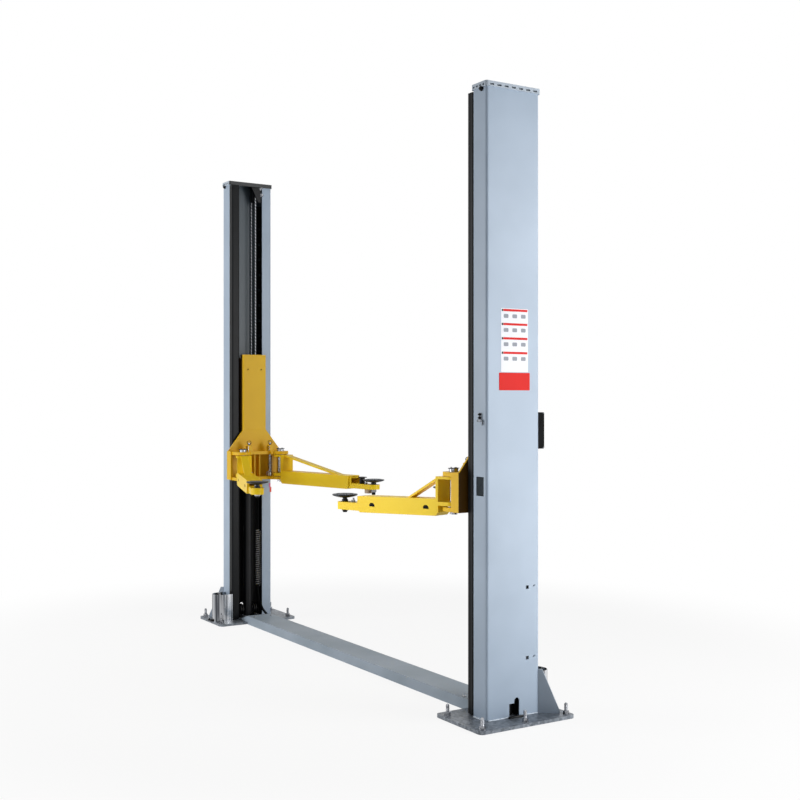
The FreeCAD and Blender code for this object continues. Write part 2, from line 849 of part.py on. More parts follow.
def make_outer_arm(name):
    body = new_body(f"outer_arm_{name}")
    reach, brace_end, tongue, out = arm_sizes(name)
    beam_top = d.beam_bottom + d.beam_height
    root_back = d.root_plate_at
    root_front = root_back + d.root_plate
    width = 2 * d.beam_half
    near_bevel = root_back + d.beam_chamfer
    far_bevel = reach - d.beam_chamfer
    profile = [
        (root_back, arm_level(name, d.beam_bottom + d.beam_chamfer, root_back)),
        (near_bevel, arm_level(name, d.beam_bottom, near_bevel)),
        (far_bevel, arm_level(name, d.beam_bottom, far_bevel)),
        (reach, arm_level(name, d.beam_bottom + d.beam_chamfer, reach)),
        (reach, arm_level(name, beam_top, reach)),
        (root_front, arm_level(name, beam_top, root_front)),
        (root_front, d.fork_top), (root_back, d.fork_top),
    ]
    add_block(body, "XZ", profile, -d.beam_half, width)
    inside = d.beam_half - d.beam_wall
    bore_start = root_front + d.beam_wall
    bore_end = reach + 1
    floor = d.beam_bottom + d.beam_wall
    roof = beam_top - d.beam_wall
    bore = [
        (bore_start, arm_level(name, floor, bore_start)), (bore_end, arm_level(name, floor, bore_end)),
        (bore_end, arm_level(name, roof, bore_end)), (bore_start, arm_level(name, roof, bore_start)),
    ]
    cut_block(body, "XZ", bore, -inside, 2 * inside)
    brace_foot = arm_level(name, beam_top, brace_end)
    rise = d.fork_top - brace_foot
    run = brace_end - root_front
    thick_run = d.brace_thickness * run / rise
    brace = [
        (root_front - 1, d.fork_top), (root_front, d.fork_top), (brace_end, brace_foot - 1),
        (brace_end - thick_run, brace_foot - 1), (root_front - 1, d.fork_top - d.brace_thickness),
    ]
    add_block(body, "XZ", brace, -d.brace_half, 2 * d.brace_half)
    plates = (
        (d.fork_top - d.fork_top_thickness, d.fork_top_thickness),
        (d.fork_low_bottom, d.fork_low_thickness),
    )
    for low, thickness in plates:
        plate = box_outline(as_size(0), root_back, -d.beam_half, d.beam_half)
        add_block(body, "XY", plate, low, thickness)
        add_round(body, "XY", (as_size(0), as_size(0)), d.fork_ear, low, thickness)
        clear = d.pin_radius + d.running_gap
        cut_round(body, "XY", (as_size(0), as_size(0)), clear, low - 1, thickness + 2)
    if name.endswith("front"):
        half = d.slot_height / 2
        for middle in (d.slot_near, reach - d.slot_far_back):
            middle_z = arm_level(name, d.beam_bottom + d.beam_height / 2, middle)
            low = middle - d.slot_length / 2
            high = middle + d.slot_length / 2
            slot = [
                (low, middle_z - half), (high, middle_z - half), (high, middle_z),
                (high - half, middle_z + half), (low + half, middle_z + half), (low, middle_z),
            ]
            cut_block(body, "XZ", slot, -d.beam_half - 1, width + 2)
    body.Placement = arm_placement(name)


def make_inner_arm(name):
    body = new_body(f"inner_arm_{name}")
    reach, brace_end, tongue, out = arm_sizes(name)
    low = d.beam_bottom + d.beam_wall + d.slide_seat
    high = d.beam_bottom + d.beam_height - d.beam_wall - d.slide_gap
    half = d.beam_half - d.beam_wall - d.slide_gap
    tongue_low, thickness = tongue_heights(name)
    tongue_top = tongue_low + thickness
    start = d.inner_start + out
    end = reach + out
    pad_x = end + tongue
    profile = [
        (start, arm_level(name, low, start)), (end, tongue_low), (pad_x, tongue_low),
        (pad_x, tongue_top), (end, tongue_top), (end, arm_level(name, high, end)),
        (start, arm_level(name, high, start)),
    ]
    add_block(body, "XZ", profile, -half, 2 * half)
    add_round(body, "XY", (pad_x, as_size(0)), d.tongue_tip, tongue_low, thickness)
    hollow = half - d.beam_wall
    before = start - 1
    beyond = end + 1
    floor = low + thickness
    roof = high - d.beam_wall
    bore = [
        (before, arm_level(name, floor, before)), (beyond, arm_level(name, floor, beyond)),
        (beyond, arm_level(name, roof, beyond)), (before, arm_level(name, roof, before)),
    ]
    cut_block(body, "XZ", bore, -hollow, 2 * hollow)
    clear = d.pad_screw + d.running_gap
    cut_round(body, "XY", (pad_x, as_size(0)), clear, tongue_low - 1, thickness + 2)
    body.Placement = arm_placement(name)


def make_pad(name):
    body = new_body(f"pad_{name}")
    reach, brace_end, tongue, out = arm_sizes(name)
    tongue_low, thickness = tongue_heights(name)
    rest = tongue_low + thickness + d.seat_gap
    collar_top = rest + d.pad_collar_height
    dish_floor = d.pad_rim_high - d.pad_dish_depth
    outline = [
        (0, d.pad_screw_bottom), (d.pad_screw, d.pad_screw_bottom), (d.pad_screw, rest),
        (d.pad_collar, rest), (d.pad_collar, collar_top), (d.pad_screw, collar_top),
        (d.pad_screw, d.pad_bowl_bottom), (d.pad_bowl_radius, d.pad_bowl_bottom),
        (d.pad_radius, d.pad_rim_low), (d.pad_radius, d.pad_rim_high),
        (d.pad_dish_radius, d.pad_rim_high), (d.pad_dish_radius - d.pad_dish_depth, dish_floor),
        (0, dish_floor),
    ]
    turn_profile(body, outline, reach + out + tongue)
    body.Placement = arm_placement(name)


def make_cylinder(name, side):
    body = new_body(f"lift_cylinder_{name}")
    centre = (side * d.cylinder_x, as_size(0))
    low = d.plate_thickness
    add_round(body, "XY", centre, d.cylinder_radius, low, d.cylinder_top - low)
    add_round(body, "XY", centre, d.gland_radius, d.cylinder_top - d.gland_height, d.gland_height)
    bore_low = low + d.cylinder_floor
    cut_round(body, "XY", centre, d.cylinder_bore, bore_low, d.cylinder_top - d.gland_height - bore_low)
    clear = d.rod_radius + d.running_gap
    cut_round(body, "XY", centre, clear, d.cylinder_top - d.gland_height - 1, d.gland_height + 2)


def make_rod(name, side):
    body = new_body(f"cylinder_rod_{name}")
    centre = (side * d.cylinder_x, as_size(0))
    add_round(body, "XY", centre, d.rod_radius, d.rod_bottom, d.rod_top - d.rod_bottom)
    piston = d.cylinder_bore - d.running_gap
    add_round(body, "XY", centre, piston, d.rod_bottom, d.piston_height)
    head = box_outline(
        centre[0] - d.rod_radius, centre[0] + d.rod_radius, -d.head_half, d.head_half
    )
    add_block(body, "XY", head, d.rod_top, d.head_height)
    inner = d.roller_half + 2
    gap = box_outline(
        centre[0] - d.rod_radius - 1, centre[0] + d.rod_radius + 1, -inner, inner
    )
    floor = d.head_height / 5
    cut_block(body, "XY", gap, d.rod_top + floor, d.head_height)
    axis_z = d.rod_top + d.head_height / 2 + floor / 2
    add_round(body, "XZ", (centre[0], axis_z), d.rod_radius / 2, -d.head_half, 2 * d.head_half)
    add_round(body, "XZ", (centre[0], axis_z), d.roller_radius, -d.roller_half, 2 * d.roller_half)


def pulley_shape(centre_x, plane_y, centre_z):
    """A grooved sheave whose axle lies along Y."""
    outer = d.pulley_outer.number
    half = d.pulley_half.number
    bore = d.pulley_bore.number
    seat = d.pulley_pitch.number
    groove = d.cable_radius.number + 0.3
    disc = Part.makeCylinder(outer, 2 * half, FreeCAD.Vector(0, -half, 0), FreeCAD.Vector(0, 1, 0))
    hole = Part.makeCylinder(bore, 2 * half, FreeCAD.Vector(0, -half, 0), FreeCAD.Vector(0, 1, 0))
    ring = Part.makeTorus(seat, groove, FreeCAD.Vector(0, 0, 0), FreeCAD.Vector(0, 1, 0))
    channel = Part.makeCylinder(outer + 1, 2 * groove, FreeCAD.Vector(0, -groove, 0), FreeCAD.Vector(0, 1, 0))
    core = Part.makeCylinder(seat, 2 * groove, FreeCAD.Vector(0, -groove, 0), FreeCAD.Vector(0, 1, 0))
    sheave = disc.cut(hole).cut(ring).cut(channel.cut(core))
    sheave.translate(FreeCAD.Vector(centre_x, plane_y, centre_z))
    return sheave


def add_feature(label, shapes):
    feature = doc.addObject("Part::Feature", label)
    feature.Label = label
    feature.Shape = shapes[0] if len(shapes) == 1 else Part.makeCompound(shapes)
    nodes.append(feature)


def bracket_shape(centre_x, plane_y, centre_z, low, high):
    """Two cheeks on a plate, with the axle that carries a sheave."""
    half = d.pulley_half.number + 1
    sheet = d.bracket_plate.number
    reach = d.bracket_half.number
    plate_z = high - sheet if high - centre_z > centre_z - low else low
    plate = Part.makeBox(
        2 * reach, 2 * (half + sheet), sheet,
        FreeCAD.Vector(centre_x - reach, plane_y - half - sheet, plate_z),
    )
    shape = plate
    for start in (plane_y - half - sheet, plane_y + half):
        cheek = Part.makeBox(
            2 * reach, sheet, high - low, FreeCAD.Vector(centre_x - reach, start, low)
        )
        shape = shape.fuse(cheek)
    axle = Part.makeCylinder(
        d.pulley_bore.number - d.running_gap.number, 2 * (half + sheet),
        FreeCAD.Vector(centre_x, plane_y - half - sheet, centre_z), FreeCAD.Vector(0, 1, 0),
    )
    return shape.fuse(axle).removeSplitter()


def hanger_shape(centre_x, plane_y, under_cap):
    """The tapered plate that hangs from the top in front of a sheave."""
    side = math.copysign(1, centre_x)
    hand = math.copysign(1, plane_y)
    sheet = d.bracket_plate.number
    front = d.hanger_front.number
    outline = [
        (d.hanger_top_inner, under_cap), (d.hanger_top_outer, under_cap),
        (d.hanger_low_outer, d.hanger_low), (d.hanger_low_inner, d.hanger_low),
    ]
    corners = [FreeCAD.Vector(side * front, hand * as_size(y).number, as_size(z).number) for y, z in outline]
    plate = Part.Face(Part.makePolygon(corners + corners[:1])).extrude(FreeCAD.Vector(-side * sheet, 0, 0))
    flange_x = front - sheet
    depth = abs(centre_x) - flange_x
    width = d.hanger_top_outer.number - d.hanger_top_inner.number
    middle_y = hand * (d.hanger_top_outer.number + d.hanger_top_inner.number) / 2
    flange = Part.makeBox(
        depth, width, sheet,
        FreeCAD.Vector(flange_x if side > 0 else -abs(centre_x), middle_y - width / 2, under_cap - sheet),
    )
    return plate.fuse(flange)


def make_pulleys():
    x = d.pulley_x.number
    y = d.cable_plane.number
    top_z = d.top_pulley_z.number
    base_z = d.base_pulley_z.number
    under_cap = d.overall_height.number - d.cap_plate.number
    floor = d.plate_thickness.number
    reach = d.bracket_half.number
    tops = [(-x, y), (x, -y)]
    bases = [(-x, y), (-x, -y), (x, y), (x, -y)]
    add_feature("top_pulleys", [pulley_shape(px, py, top_z) for px, py in tops])
    add_feature("base_pulleys", [pulley_shape(px, py, base_z) for px, py in bases])
    hang = [
        bracket_shape(px, py, top_z, top_z - reach, under_cap)
        .fuse(hanger_shape(px, py, under_cap)).removeSplitter()
        for px, py in tops
    ]
    stand = [bracket_shape(px, py, base_z, floor, base_z + reach) for px, py in bases]
    add_feature("pulley_brackets", hang + stand)


def tube_along(points, radii, radius):
    """A round tube on straight runs joined by tangent arcs."""
    edges = []
    last = points[0]
    for index in range(1, len(points) - 1):
        corner = points[index]
        back = (points[index - 1] - corner).normalize()
        ahead = (points[index + 1] - corner).normalize()
        half = (math.pi - back.getAngle(ahead)) / 2
        trim = radii[index - 1] * math.tan(half)
        first = corner + back * trim
        second = corner + ahead * trim
        middle_dir = (back + ahead).normalize()
        centre = corner + middle_dir * (radii[index - 1] / math.cos(half))
        middle = centre - middle_dir * radii[index - 1]
        if (first - last).Length > 1e-6:
            edges.append(Part.LineSegment(last, first).toShape())
        edges.append(Part.Arc(first, middle, second).toShape())
        last = second
    edges.append(Part.LineSegment(last, points[-1]).toShape())
    path = Part.Wire(edges)
    start_dir = (points[1] - points[0]).normalize()
    profile = Part.Wire([Part.makeCircle(radius, points[0], start_dir)])
    return path.makePipeShell([profile], True, False)


def make_cables():
    """Each cable ties one carriage to the other over three pulleys."""
    x = d.pulley_x.number
    pitch = d.pulley_pitch.number
    top = d.top_pulley_z.number + pitch
    low = d.base_pulley_z.number - pitch
    y = d.cable_plane.number
    end = d.cable_end.number
    cables = []
    for hand in (1, -1):
        route = [
            (-(x - pitch), end), (-(x - pitch), top), (-(x + pitch), top),
            (-(x + pitch), low), (x + pitch, low), (x + pitch, end),
        ]
        points = [FreeCAD.Vector(hand * px, hand * y, pz) for px, pz in route]
        cables.append(tube_along(points, [pitch * 0.9999] * 4, d.cable_radius.number))
    add_feature("equaliser_cables", cables)


def make_hose():
    x = d.hose_x.number
    y = d.hose_y.number
    z = d.hose_z.number
    run = d.hose_run_y.number
    turn = d.hose_turn_x.number
    top = d.hose_top.number
    route = [
        (-x, y, top), (-x, y, z), (-turn, run, z), (turn, run, z), (x, y, z), (x, y, top),
    ]
    points = [FreeCAD.Vector(*place) for place in route]
    leg = math.dist(route[1], route[2])
    tight = 0.45 * leg
    add_feature("hydraulic_hose", [tube_along(points, [tight, leg, leg, tight], d.hose_radius.number)])


def make_unions():
    body = new_body("hose_unions")
    for name, side in SIDES.items():
        back = web_face - d.wall - d.seat_gap
        if side < 0:
            back = back - d.rack_thickness - d.seat_gap
        outline = box_outline(
            side * (d.hose_x - d.hose_radius - 3), side * back,
            d.hose_y - d.hose_radius - 3, d.hose_y + d.hose_radius + 3,
        )
        add_block(body, "XY", outline, d.hose_top, d.union_height)


def make_rack(name, side):
    body = new_body(f"lock_rack_{name}")
    back = web_face - d.wall - d.seat_gap
    outline = box_outline(
        side * back, side * (back - d.rack_thickness),
        -side * d.rack_inner, -side * (d.rack_inner + d.rack_width),
    )
    add_block(body, "XY", outline, d.rack_bottom, d.rack_top - d.rack_bottom)
    start, length = toward(side, back - d.rack_thickness - 1, back + 1)
    middle = -side * (d.rack_inner + d.rack_width / 2)
    half = d.rack_slot / 2
    rows = int((DIMENSIONS["rack_top"] - DIMENSIONS["rack_bottom"]) // DIMENSIONS["rack_pitch"])
    sketch = new_sketch(body, "YZ", start)
    for index in range(rows):
        low = d.rack_bottom + d.rack_pitch * index + d.rack_pitch / 3
        draw_outline(sketch, box_outline(middle - half, middle + half, low, low + 2 * half))
    extrude(body, "Pocket", sketch, length, "YZ")
    return body


def make_control_box():
    body = new_body("control_box")
    back = web_half + d.seat_gap
    outline = box_outline(d.box_low_x, d.box_low_x + d.box_width, d.box_bottom, d.box_bottom + d.box_height)
    add_block(body, "XZ", outline, back, d.box_depth)


def make_release(name, side):
    body = new_body(f"lock_release_{name}")
    back = web_half + d.seat_gap
    depth = 12
    low = -back - depth if side > 0 else back
    plate = box_outline(
        side * (d.release_x - 12), side * (d.release_x + 12), d.release_z - 8, d.release_z + 20
    )
    add_block(body, "XZ", plate, low, depth)
    return body


def build():
    fill_sheet()
    for name, side in SIDES.items():
        make_column(name, side)
        make_cap(name, side)
        make_base_plate(name, side)
        make_carriage(name, side)
        make_sliders(name, side)
        make_pins(name, side)
        make_locks(name, side)
        make_cylinder(name, side)
        make_rod(name, side)
    pairs = {
        "base_gussets": make_base_gusset, "pulley_shrouds": make_shroud,
        "door_guards": make_guard, "lock_racks": make_rack, "lock_releases": make_release,
    }
    for label, make in pairs.items():
        gather(label, [make(name, side) for name, side in SIDES.items()])
    make_anchors()
    make_floor_cover()
    for name in ARMS:
        make_outer_arm(name)
        make_inner_arm(name)
        make_pad(name)
    make_pulleys()
    make_cables()
    make_hose()
    make_unions()
    make_control_box()
    doc.recompute()


def check_and_write():
    for item in doc.Objects:
        if "Invalid" in item.State or "Error" in item.State:
            raise RuntimeError(f"{item.Name} did not build: {item.State}")
    for node in nodes:
        if node.Shape.isNull() or not node.Shape.isValid():
            raise RuntimeError(f"{node.Label} has no valid shape")
    os.makedirs("parts", exist_ok=True)
    for node in nodes:
        node.Shape.exportStep(f"parts/{node.Label}.step")
        print(node.Label, len(node.Shape.Solids), round(node.Shape.Volume / 1000, 1))


build()
check_and_write()
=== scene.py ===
import bpy
import json
import math
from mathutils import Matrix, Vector


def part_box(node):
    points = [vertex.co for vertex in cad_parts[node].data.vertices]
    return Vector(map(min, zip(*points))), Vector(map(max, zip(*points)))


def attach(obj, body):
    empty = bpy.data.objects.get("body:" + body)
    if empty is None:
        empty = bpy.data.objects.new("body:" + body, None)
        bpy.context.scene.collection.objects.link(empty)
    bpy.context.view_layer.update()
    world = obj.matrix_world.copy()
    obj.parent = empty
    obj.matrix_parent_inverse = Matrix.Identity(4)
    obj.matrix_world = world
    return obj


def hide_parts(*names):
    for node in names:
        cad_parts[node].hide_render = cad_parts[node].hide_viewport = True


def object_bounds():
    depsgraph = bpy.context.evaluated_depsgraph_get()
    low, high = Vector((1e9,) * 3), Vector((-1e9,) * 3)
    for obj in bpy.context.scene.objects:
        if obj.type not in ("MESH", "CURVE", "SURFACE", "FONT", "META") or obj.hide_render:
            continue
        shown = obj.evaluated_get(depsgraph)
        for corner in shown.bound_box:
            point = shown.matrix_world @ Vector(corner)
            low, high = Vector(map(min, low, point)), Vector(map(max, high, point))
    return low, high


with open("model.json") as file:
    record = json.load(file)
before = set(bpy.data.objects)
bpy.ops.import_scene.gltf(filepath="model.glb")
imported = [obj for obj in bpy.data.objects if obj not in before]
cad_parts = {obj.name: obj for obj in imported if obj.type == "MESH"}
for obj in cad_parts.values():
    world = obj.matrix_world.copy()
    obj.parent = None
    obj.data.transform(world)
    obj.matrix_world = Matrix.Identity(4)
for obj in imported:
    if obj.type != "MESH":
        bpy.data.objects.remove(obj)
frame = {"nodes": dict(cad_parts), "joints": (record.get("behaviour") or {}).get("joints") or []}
cad_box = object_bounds()
nodes = frame["nodes"]
joints = {joint["name"]: joint for joint in frame["joints"]}

MM = 0.001
SIDES = {"right": 1, "left": -1}
ARMS = ("right_front", "right_rear", "left_front", "left_rear")


# Colours and shader nodes

def srgb(hex_code):
    """An sRGB hex colour as linear red, green, blue and alpha."""
    channels = [int(hex_code[i:i + 2], 16) / 255 for i in (1, 3, 5)]
    linear = [c / 12.92 if c <= 0.04045 else ((c + 0.055) / 1.055) ** 2.4 for c in channels]
    return (*linear, 1.0)


def add_node(tree, kind, settings=None, inputs=None):
    """Adds a node, sets its properties, and sets or links its inputs."""
    node = tree.nodes.new(kind)
    for name, value in (settings or {}).items():
        setattr(node, name, value)
    for name, value in (inputs or {}).items():
        if isinstance(value, bpy.types.NodeSocket):
            tree.links.new(value, node.inputs[name])
        else:
            node.inputs[name].default_value = value
    return node


def new_material(name, **sockets):
    """A material with one Principled shader, its plain values set on the shader's own sockets."""
    material = bpy.data.materials.new(name)
    material.use_nodes = True
    tree = material.node_tree
    shader = tree.nodes["Principled BSDF"]
    for socket, value in sockets.items():
        shader.inputs[socket.replace("_", " ")].default_value = value
    return material, tree, shader


def add_ramp(tree, factor, stops):
    ramp = add_node(tree, "ShaderNodeValToRGB", inputs={"Fac": factor})
    elements = ramp.color_ramp.elements
    while len(elements) < len(stops):
        elements.new(0.5)
    for element, (place, colour) in zip(elements, stops):
        element.position = place
        element.color = srgb(colour)
    return ramp.outputs["Color"]


def add_math(tree, operation, first, second=0.0):
    return add_node(tree, "ShaderNodeMath", {"operation": operation}, {0: first, 1: second}).outputs[0]


def object_place(tree):
    return add_node(tree, "ShaderNodeTexCoord").outputs["Object"]


def add_noise(tree, size_mm, detail=3.0, roughness=0.5, stretch=(1, 1, 1)):
    """Noise whose patches are about size_mm across, drawn out along an axis by stretch."""
    place = add_node(tree, "ShaderNodeMapping", inputs={
        "Vector": object_place(tree), "Scale": tuple(1 / s for s in stretch)}).outputs["Vector"]
    return add_node(
        tree, "ShaderNodeTexNoise",
        inputs={"Vector": place, "Scale": 1 / (size_mm * MM), "Detail": detail, "Roughness": roughness},
    ).outputs["Fac"]


def add_bump(tree, shader, height, depth_mm):
    bump = add_node(tree, "ShaderNodeBump", inputs={"Height": height, "Distance": depth_mm * MM})
    tree.links.new(bump.outputs["Normal"], shader.inputs["Normal"])


# Finishes

def coat_in_two_tones(tree, shader, mask, coat, other):
    """Gives the coat's colour where the mask is 0 and the other where it is 1, under a faint orange peel."""
    both = add_node(tree, "ShaderNodeMix", {"data_type": "RGBA"}, {0: mask, 6: coat, 7: other})
    tree.links.new(both.outputs[2], shader.inputs["Base Color"])
    add_bump(tree, shader, add_noise(tree, 1.6, 1.0), 0.03)


def smooth_coat(name, light, dark, roughness, specular=0.5, grain_mm=1.6, grain_depth=0.03):
    """A coat or film on sheet: an even colour with a faint orange peel."""
    material, tree, shader = new_material(
        name, Roughness=roughness, IOR=1.5, Specular_IOR_Level=specular)
    tone = add_ramp(tree, add_noise(tree, 260, 2.0), [(0.35, dark), (0.65, light)])
    tree.links.new(tone, shader.inputs["Base Color"])
    add_bump(tree, shader, add_noise(tree, grain_mm, 1.0), grain_depth)
    return material


def channel_mask(tree):
    """1 on the faces inside the two columns and under their caps, where the coat takes painted shade, and 0
    on the open outer faces.
    """
    low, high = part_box("column_right")
    skin = 5 * MM
    place = add_node(tree, "ShaderNodeSeparateXYZ", inputs={"Vector": object_place(tree)})
    across = add_math(tree, "ABSOLUTE", place.outputs["X"])
    along = add_math(tree, "ABSOLUTE", place.outputs["Y"])
    behind_lip = add_math(tree, "GREATER_THAN", across, low.x + skin)
    before_web = add_math(tree, "LESS_THAN", across, high.x - skin)
    between_flanges = add_math(tree, "LESS_THAN", along, high.y - skin)
    inside = add_math(tree, "MULTIPLY", behind_lip, before_web)
    inside = add_math(tree, "MULTIPLY", inside, between_flanges)
    under_cap = add_math(tree, "GREATER_THAN", place.outputs["Z"], high.z - 17 * MM)
    return add_math(tree, "MAXIMUM", inside, under_cap), place.outputs["Z"]


def column_coat():
    """Light grey powder coat outside; inside, painted shade over the coat, near black low down and dark slate
    higher up.
    """
    material, tree, shader = new_material("Light grey powder coat", Roughness=0.4, IOR=1.5)
    coat = add_ramp(tree, add_noise(tree, 300, 2.0), [(0.35, "#a4b5c8"), (0.65, "#acbdd0")])
    inside, height = channel_mask(tree)
    climb = add_math(tree, "DIVIDE", height, cad_box[1].z)
    # Painted shade inside the channels, darker towards the bottom.
    painted_shade_inside = add_ramp(tree, climb, [
        (0.0, "#0b0a0d"), (0.36, "#121215"), (0.56, "#39454d"), (1.0, "#46525b")])
    coat_in_two_tones(tree, shader, inside, coat, painted_shade_inside)
    return material


def cap_coat():
    """The caps' grey coat, with a near black strip of painted shade on each cap's inner skirt, where it opens
    to the channel on the bay side.
    """
    material, tree, shader = new_material("Grey coat on the caps", Roughness=0.4, IOR=1.5)
    coat = add_ramp(tree, add_noise(tree, 300, 2.0), [(0.35, "#b4c0cd"), (0.65, "#bcc8d5")])
    place = add_node(tree, "ShaderNodeSeparateXYZ", inputs={"Vector": object_place(tree)})
    across = add_math(tree, "ABSOLUTE", place.outputs["X"])
    # Painted shade: the inner skirt towards the bay is coloured near black.
    painted_shade_strip = add_math(tree, "LESS_THAN", across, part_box("column_right")[0].x + 0.5 * MM)
    coat_in_two_tones(tree, shader, painted_shade_strip, coat, srgb("#1a1d20"))
    return material


def carriage_coat():
    """Deep yellow powder coat; the backs of the face plates, next to the columns, are painted dark brown as
    shade.
    """
    material, tree, shader = new_material(
        "Deep yellow powder coat", Roughness=0.42, Specular_IOR_Level=0.25)
    coat = add_ramp(tree, add_noise(tree, 260, 2.0), [(0.35, "#e8b811"), (0.65, "#efc016")])
    place = add_node(tree, "ShaderNodeSeparateXYZ", inputs={"Vector": object_place(tree)})
    across = add_math(tree, "ABSOLUTE", place.outputs["X"])
    # Painted shade: face-plate backs within reach of the column are coloured dark brown.
    painted_shade_behind = add_math(tree, "GREATER_THAN", across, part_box("column_right")[0].x - 51.5 * MM)
    coat_in_two_tones(tree, shader, painted_shade_behind, coat, srgb("#5a3c0c"))
    return material


def galvanised():
    """Hot-dip zinc on plate: dull, mottled in broad spangles."""
    material, tree, shader = new_material("Hot-dip zinc", Metallic=0.35, Roughness=0.42)
    spangle = add_node(tree, "ShaderNodeTexVoronoi", inputs={
        "Vector": object_place(tree), "Scale": 1 / (14 * MM)}).outputs["Color"]
    grey = add_node(tree, "ShaderNodeSeparateColor", inputs={"Color": spangle}).outputs[0]
    blend = add_math(tree, "MULTIPLY", add_math(tree, "ADD", grey, add_noise(tree, 70, 4.0, 0.6)), 0.5)
    tone = add_ramp(tree, blend, [(0.25, "#5c636b"), (0.55, "#787f88"), (0.85, "#999fa8")])
    tree.links.new(tone, shader.inputs["Base Color"])
    add_bump(tree, shader, add_noise(tree, 9, 3.0), 0.12)
    return material


def plated_steel(name, dark, light, low_gloss, high_gloss, stretch=(1, 1, 1)):
    """Bright plating: mirror-like metal with patches of finer and coarser polish."""
    material, tree, shader = new_material(name, Metallic=1.0)
    tone = add_ramp(tree, add_noise(tree, 16, 2.0, stretch=stretch), [(0.35, dark), (0.65, light)])
    tree.links.new(tone, shader.inputs["Base Color"])
    gloss = add_node(tree, "ShaderNodeMapRange", inputs={
        "Value": add_noise(tree, 12, 3.0), "To Min": low_gloss, "To Max": high_gloss})
    tree.links.new(gloss.outputs["Result"], shader.inputs["Roughness"])
    return material


